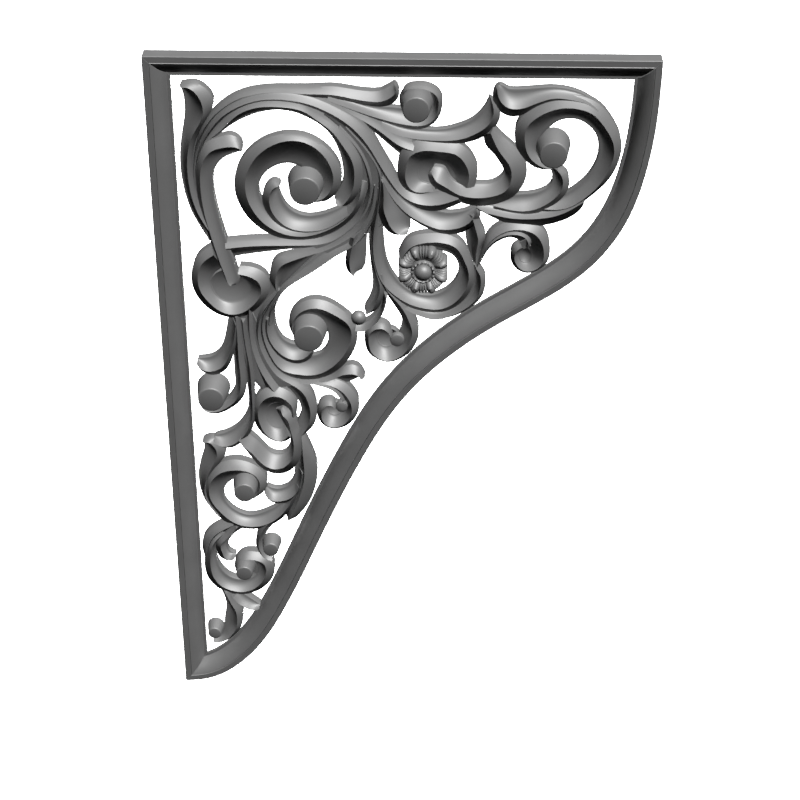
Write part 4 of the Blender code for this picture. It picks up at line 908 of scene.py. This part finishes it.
def groupOf(name, inputs, outputs):
    tree = bpy.data.node_groups.new(name, "ShaderNodeTree")
    for label, kind, value in inputs:
        socket = tree.interface.new_socket(label, in_out="INPUT", socket_type=kind)
        socket.default_value = value
    for label, kind in outputs:
        tree.interface.new_socket(label, in_out="OUTPUT", socket_type=kind)
    return tree, tree.nodes.new("NodeGroupInput"), tree.nodes.new("NodeGroupOutput")


def paintedShadeGroup():
    # Painted shade: the paint colour is darkened where it lies in a deep cut, standing in for the
    # shade that falls there
    tree, given, made = groupOf(
        "paintedCavityShade",
        (
            ("Colour", "NodeSocketColor", (0.2, 0.2, 0.2, 1)),
            ("Reach", "NodeSocketFloat", 0.004),
            ("Floor", "NodeSocketFloat", 0.6),
        ),
        (("Colour", "NodeSocketColor"),),
    )
    nearby = tree.nodes.new("ShaderNodeAmbientOcclusion")
    nearby.samples = 4
    span = tree.nodes.new("ShaderNodeMapRange")
    tint = tree.nodes.new("ShaderNodeMix")
    tint.data_type = "RGBA"
    tint.blend_type = "MULTIPLY"
    tint.inputs[0].default_value = 1
    link = tree.links.new
    link(given.outputs["Reach"], nearby.inputs["Distance"])
    link(nearby.outputs["AO"], span.inputs["Value"])
    link(given.outputs["Floor"], span.inputs["To Min"])
    link(given.outputs["Colour"], tint.inputs[6])
    link(span.outputs["Result"], tint.inputs[7])
    link(tint.outputs[2], made.inputs["Colour"])
    return tree


def grainGroup():
    # Fine brushed grain that shows through the paint
    tree, given, made = groupOf(
        "paintedGrain",
        (
            ("Scale", "NodeSocketFloat", 900.0),
            ("Stretch", "NodeSocketVector", (1, 1, 0.15)),
        ),
        (("Height", "NodeSocketFloat"), ("Blotch", "NodeSocketFloat")),
    )
    where = tree.nodes.new("ShaderNodeTexCoord")
    scaled = tree.nodes.new("ShaderNodeVectorMath")
    scaled.operation = "MULTIPLY"
    fine = tree.nodes.new("ShaderNodeTexNoise")
    fine.inputs["Detail"].default_value = 3
    broad = tree.nodes.new("ShaderNodeTexNoise")
    broad.inputs["Scale"].default_value = 45
    broad.inputs["Detail"].default_value = 2
    link = tree.links.new
    link(where.outputs["Object"], scaled.inputs[0])
    link(given.outputs["Stretch"], scaled.inputs[1])
    link(scaled.outputs[0], fine.inputs["Vector"])
    link(given.outputs["Scale"], fine.inputs["Scale"])
    link(where.outputs["Object"], broad.inputs["Vector"])
    link(fine.outputs["Fac"], made.inputs["Height"])
    link(broad.outputs["Fac"], made.inputs["Blotch"])
    return tree


paintedCavityShade = paintedShadeGroup()
paintedGrain = grainGroup()


def paintMaterial(name, stretch):
    material = bpy.data.materials.new(name)
    material.use_nodes = True
    tree = material.node_tree
    shader = tree.nodes["Principled BSDF"]
    link = tree.links.new
    grain = tree.nodes.new("ShaderNodeGroup")
    grain.node_tree = paintedGrain
    grain.inputs["Scale"].default_value = paint["grainScale"]
    grain.inputs["Stretch"].default_value = stretch
    base = tree.nodes.new("ShaderNodeValToRGB")
    low, high = base.color_ramp.elements
    low.position, high.position = 0.35, 0.65
    for end, share in ((low, 1 - paint["blotch"]), (high, 1 + paint["blotch"])):
        end.color = (*(share * part for part in paint["colour"]), 1)
    # Painted shade: this group darkens the paint colour in deep cuts, where shade falls
    cavity = tree.nodes.new("ShaderNodeGroup")
    cavity.node_tree = paintedCavityShade
    cavity.inputs["Reach"].default_value = paint["paintedShadeReach"]
    cavity.inputs["Floor"].default_value = paint["paintedShadeFloor"]
    link(grain.outputs["Blotch"], base.inputs["Fac"])
    link(base.outputs["Color"], cavity.inputs["Colour"])
    link(cavity.outputs["Colour"], shader.inputs["Base Color"])
    shine = tree.nodes.new("ShaderNodeMapRange")
    shine.inputs["To Min"].default_value = paint["roughness"] - paint["shineSpread"]
    shine.inputs["To Max"].default_value = paint["roughness"] + paint["shineSpread"]
    link(grain.outputs["Blotch"], shine.inputs["Value"])
    link(shine.outputs["Result"], shader.inputs["Roughness"])
    bump = tree.nodes.new("ShaderNodeBump")
    bump.inputs["Distance"].default_value = paint["grainDepth"]
    bump.inputs["Strength"].default_value = 0.5
    link(grain.outputs["Height"], bump.inputs["Height"])
    link(bump.outputs["Normal"], shader.inputs["Normal"])
    return material


alongPost = paintMaterial("paintAlongPost", (1, 1, 0.12))
alongBeam = paintMaterial("paintAlongBeam", (0.12, 1, 1))
carvedPaint = paintMaterial("paintOnCarving", (1, 1, 0.3))


sharpAngles = {"rails": 24, "carving": 32}  # degrees at which an edge stays sharp


def fit(piece, node, material, angle):
    piece.data.materials.clear()
    piece.data.materials.append(material)
    smooth(piece, angle)
    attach(piece, "root")
    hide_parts(node)


corner, beamEnd, postEnd = (0, 0), (bracket["width"], 0), (0, bracket["drop"])
topRail = straightRail("topRail", corner, beamEnd, (0, 1), 1, 1)
sideRail = straightRail("sideRail", postEnd, corner, (1, 0), bracket["lowMitre"], 1)
fit(topRail, "top_rail", alongBeam, sharpAngles["rails"])
fit(sideRail, "side_rail", alongPost, sharpAngles["rails"])
fit(curvedRail(), "curved_rail", alongPost, sharpAngles["rails"])
print("rails made")
fit(scrollwork(), "scrollwork", carvedPaint, sharpAngles["carving"])
print("scrollwork made")

# Each light: turn from the front towards the right, height, strength and how wide it looks,
# all but the strength in degrees, then whether it casts shadows
studio = {
    "ambient": 0.002,
    "paper": 1.0,
    "roomMiddle": 0.16,  # metres, as the rest of the room
    "roomRadius": 3.6,
    "roomBend": 1.2,
    "floorLevel": -1.6,
    "roomTop": 5,
    "roomSides": 72,
    "lights": {
        "overheadSoftbox": (40, 63, 16.5, 18, False),
        "backSoftbox": (180, -28, 6, 20, True),
        "leftSoftbox": (-98, -8, 1.2, 20, True),
    },
}


def softLight(name, turn, height, strength, spread, shadows):
    data = bpy.data.lights.new(name, "SUN")
    data.energy = strength
    data.angle = math.radians(spread)
    data.use_shadow = shadows
    lamp = bpy.data.objects.new(name, data)
    turn, height = math.radians(turn), math.radians(height)
    level = math.cos(height)
    towards = Vector((level * math.sin(turn), -level * math.cos(turn), math.sin(height)))
    lamp.location = towards * 3
    lamp.rotation_euler = towards.to_track_quat("Z", "Y").to_euler()
    bpy.context.scene.collection.objects.link(lamp)


for name, values in studio["lights"].items():
    softLight(name, *values)
world = bpy.data.worlds.new("studioAir")
bpy.context.scene.world = world
world.use_nodes = True
air = world.node_tree.nodes["Background"]
air.inputs["Color"].default_value = (1, 1, 1, 1)
air.inputs["Strength"].default_value = studio["ambient"]


def paperRoom():
    # A round white paper floor that curves up into a wall on all sides
    bend, level = studio["roomBend"], studio["floorLevel"]
    flat = studio["roomRadius"] - bend
    profile = [(0.01, level), (flat, level)]
    for turn in range(10, 91, 10):
        a = math.radians(turn)
        profile.append((flat + bend * math.sin(a), level + bend * (1 - math.cos(a))))
    profile.append((studio["roomRadius"], studio["roomTop"]))
    sides = studio["roomSides"]
    points = []
    for radius, z in profile:
        for i in range(sides):
            a = 2 * math.pi * i / sides
            points.append((studio["roomMiddle"] + radius * math.cos(a), radius * math.sin(a), z))
    faces = [tuple(range(sides))]
    for row in range(len(profile) - 1):
        for i in range(sides):
            j = (i + 1) % sides
            a, b = row * sides + i, row * sides + j
            faces.append((a, a + sides, b + sides, b))
    mesh = bpy.data.meshes.new("whitePaper")
    mesh.from_pydata(points, [], faces)
    room = bpy.data.objects.new("whitePaper", mesh)
    bpy.context.scene.collection.objects.link(room)
    for face in mesh.polygons:
        face.use_smooth = True
    material = bpy.data.materials.new("whitePaper")
    material.use_nodes = True
    shader = material.node_tree.nodes["Principled BSDF"]
    shader.inputs["Base Color"].default_value = (0.9, 0.9, 0.9, 1)
    shader.inputs["Roughness"].default_value = 0.9
    shader.inputs["Emission Color"].default_value = (1, 1, 1, 1)
    shader.inputs["Emission Strength"].default_value = studio["paper"]
    mesh.materials.append(material)
    room.visible_shadow = False
    room.visible_diffuse = False
    room.visible_glossy = False


paperRoom()

# The photograph's view, worked out from the frame's corners
view = {
    "place": (0.1958, -1.1748, 0.6998),
    "tilt": 59.12,
    "roll": 0.085,
    "turn": 1.64,
    "lens": 89.46,
    "sensor": 36,
}
lens = bpy.data.cameras.new("viewCamera")
lens.lens = view["lens"]
lens.sensor_width = view["sensor"]
lens.clip_start = 0.05
lens.clip_end = 30
camera = bpy.data.objects.new("viewCamera", lens)
camera.location = view["place"]
camera.rotation_euler = Euler(
    [math.radians(view[key]) for key in ("tilt", "roll", "turn")], "XYZ"
)
bpy.context.scene.collection.objects.link(camera)
bpy.context.scene.camera = camera
bpy.context.scene.view_settings.view_transform = "Standard"

print("studio set")
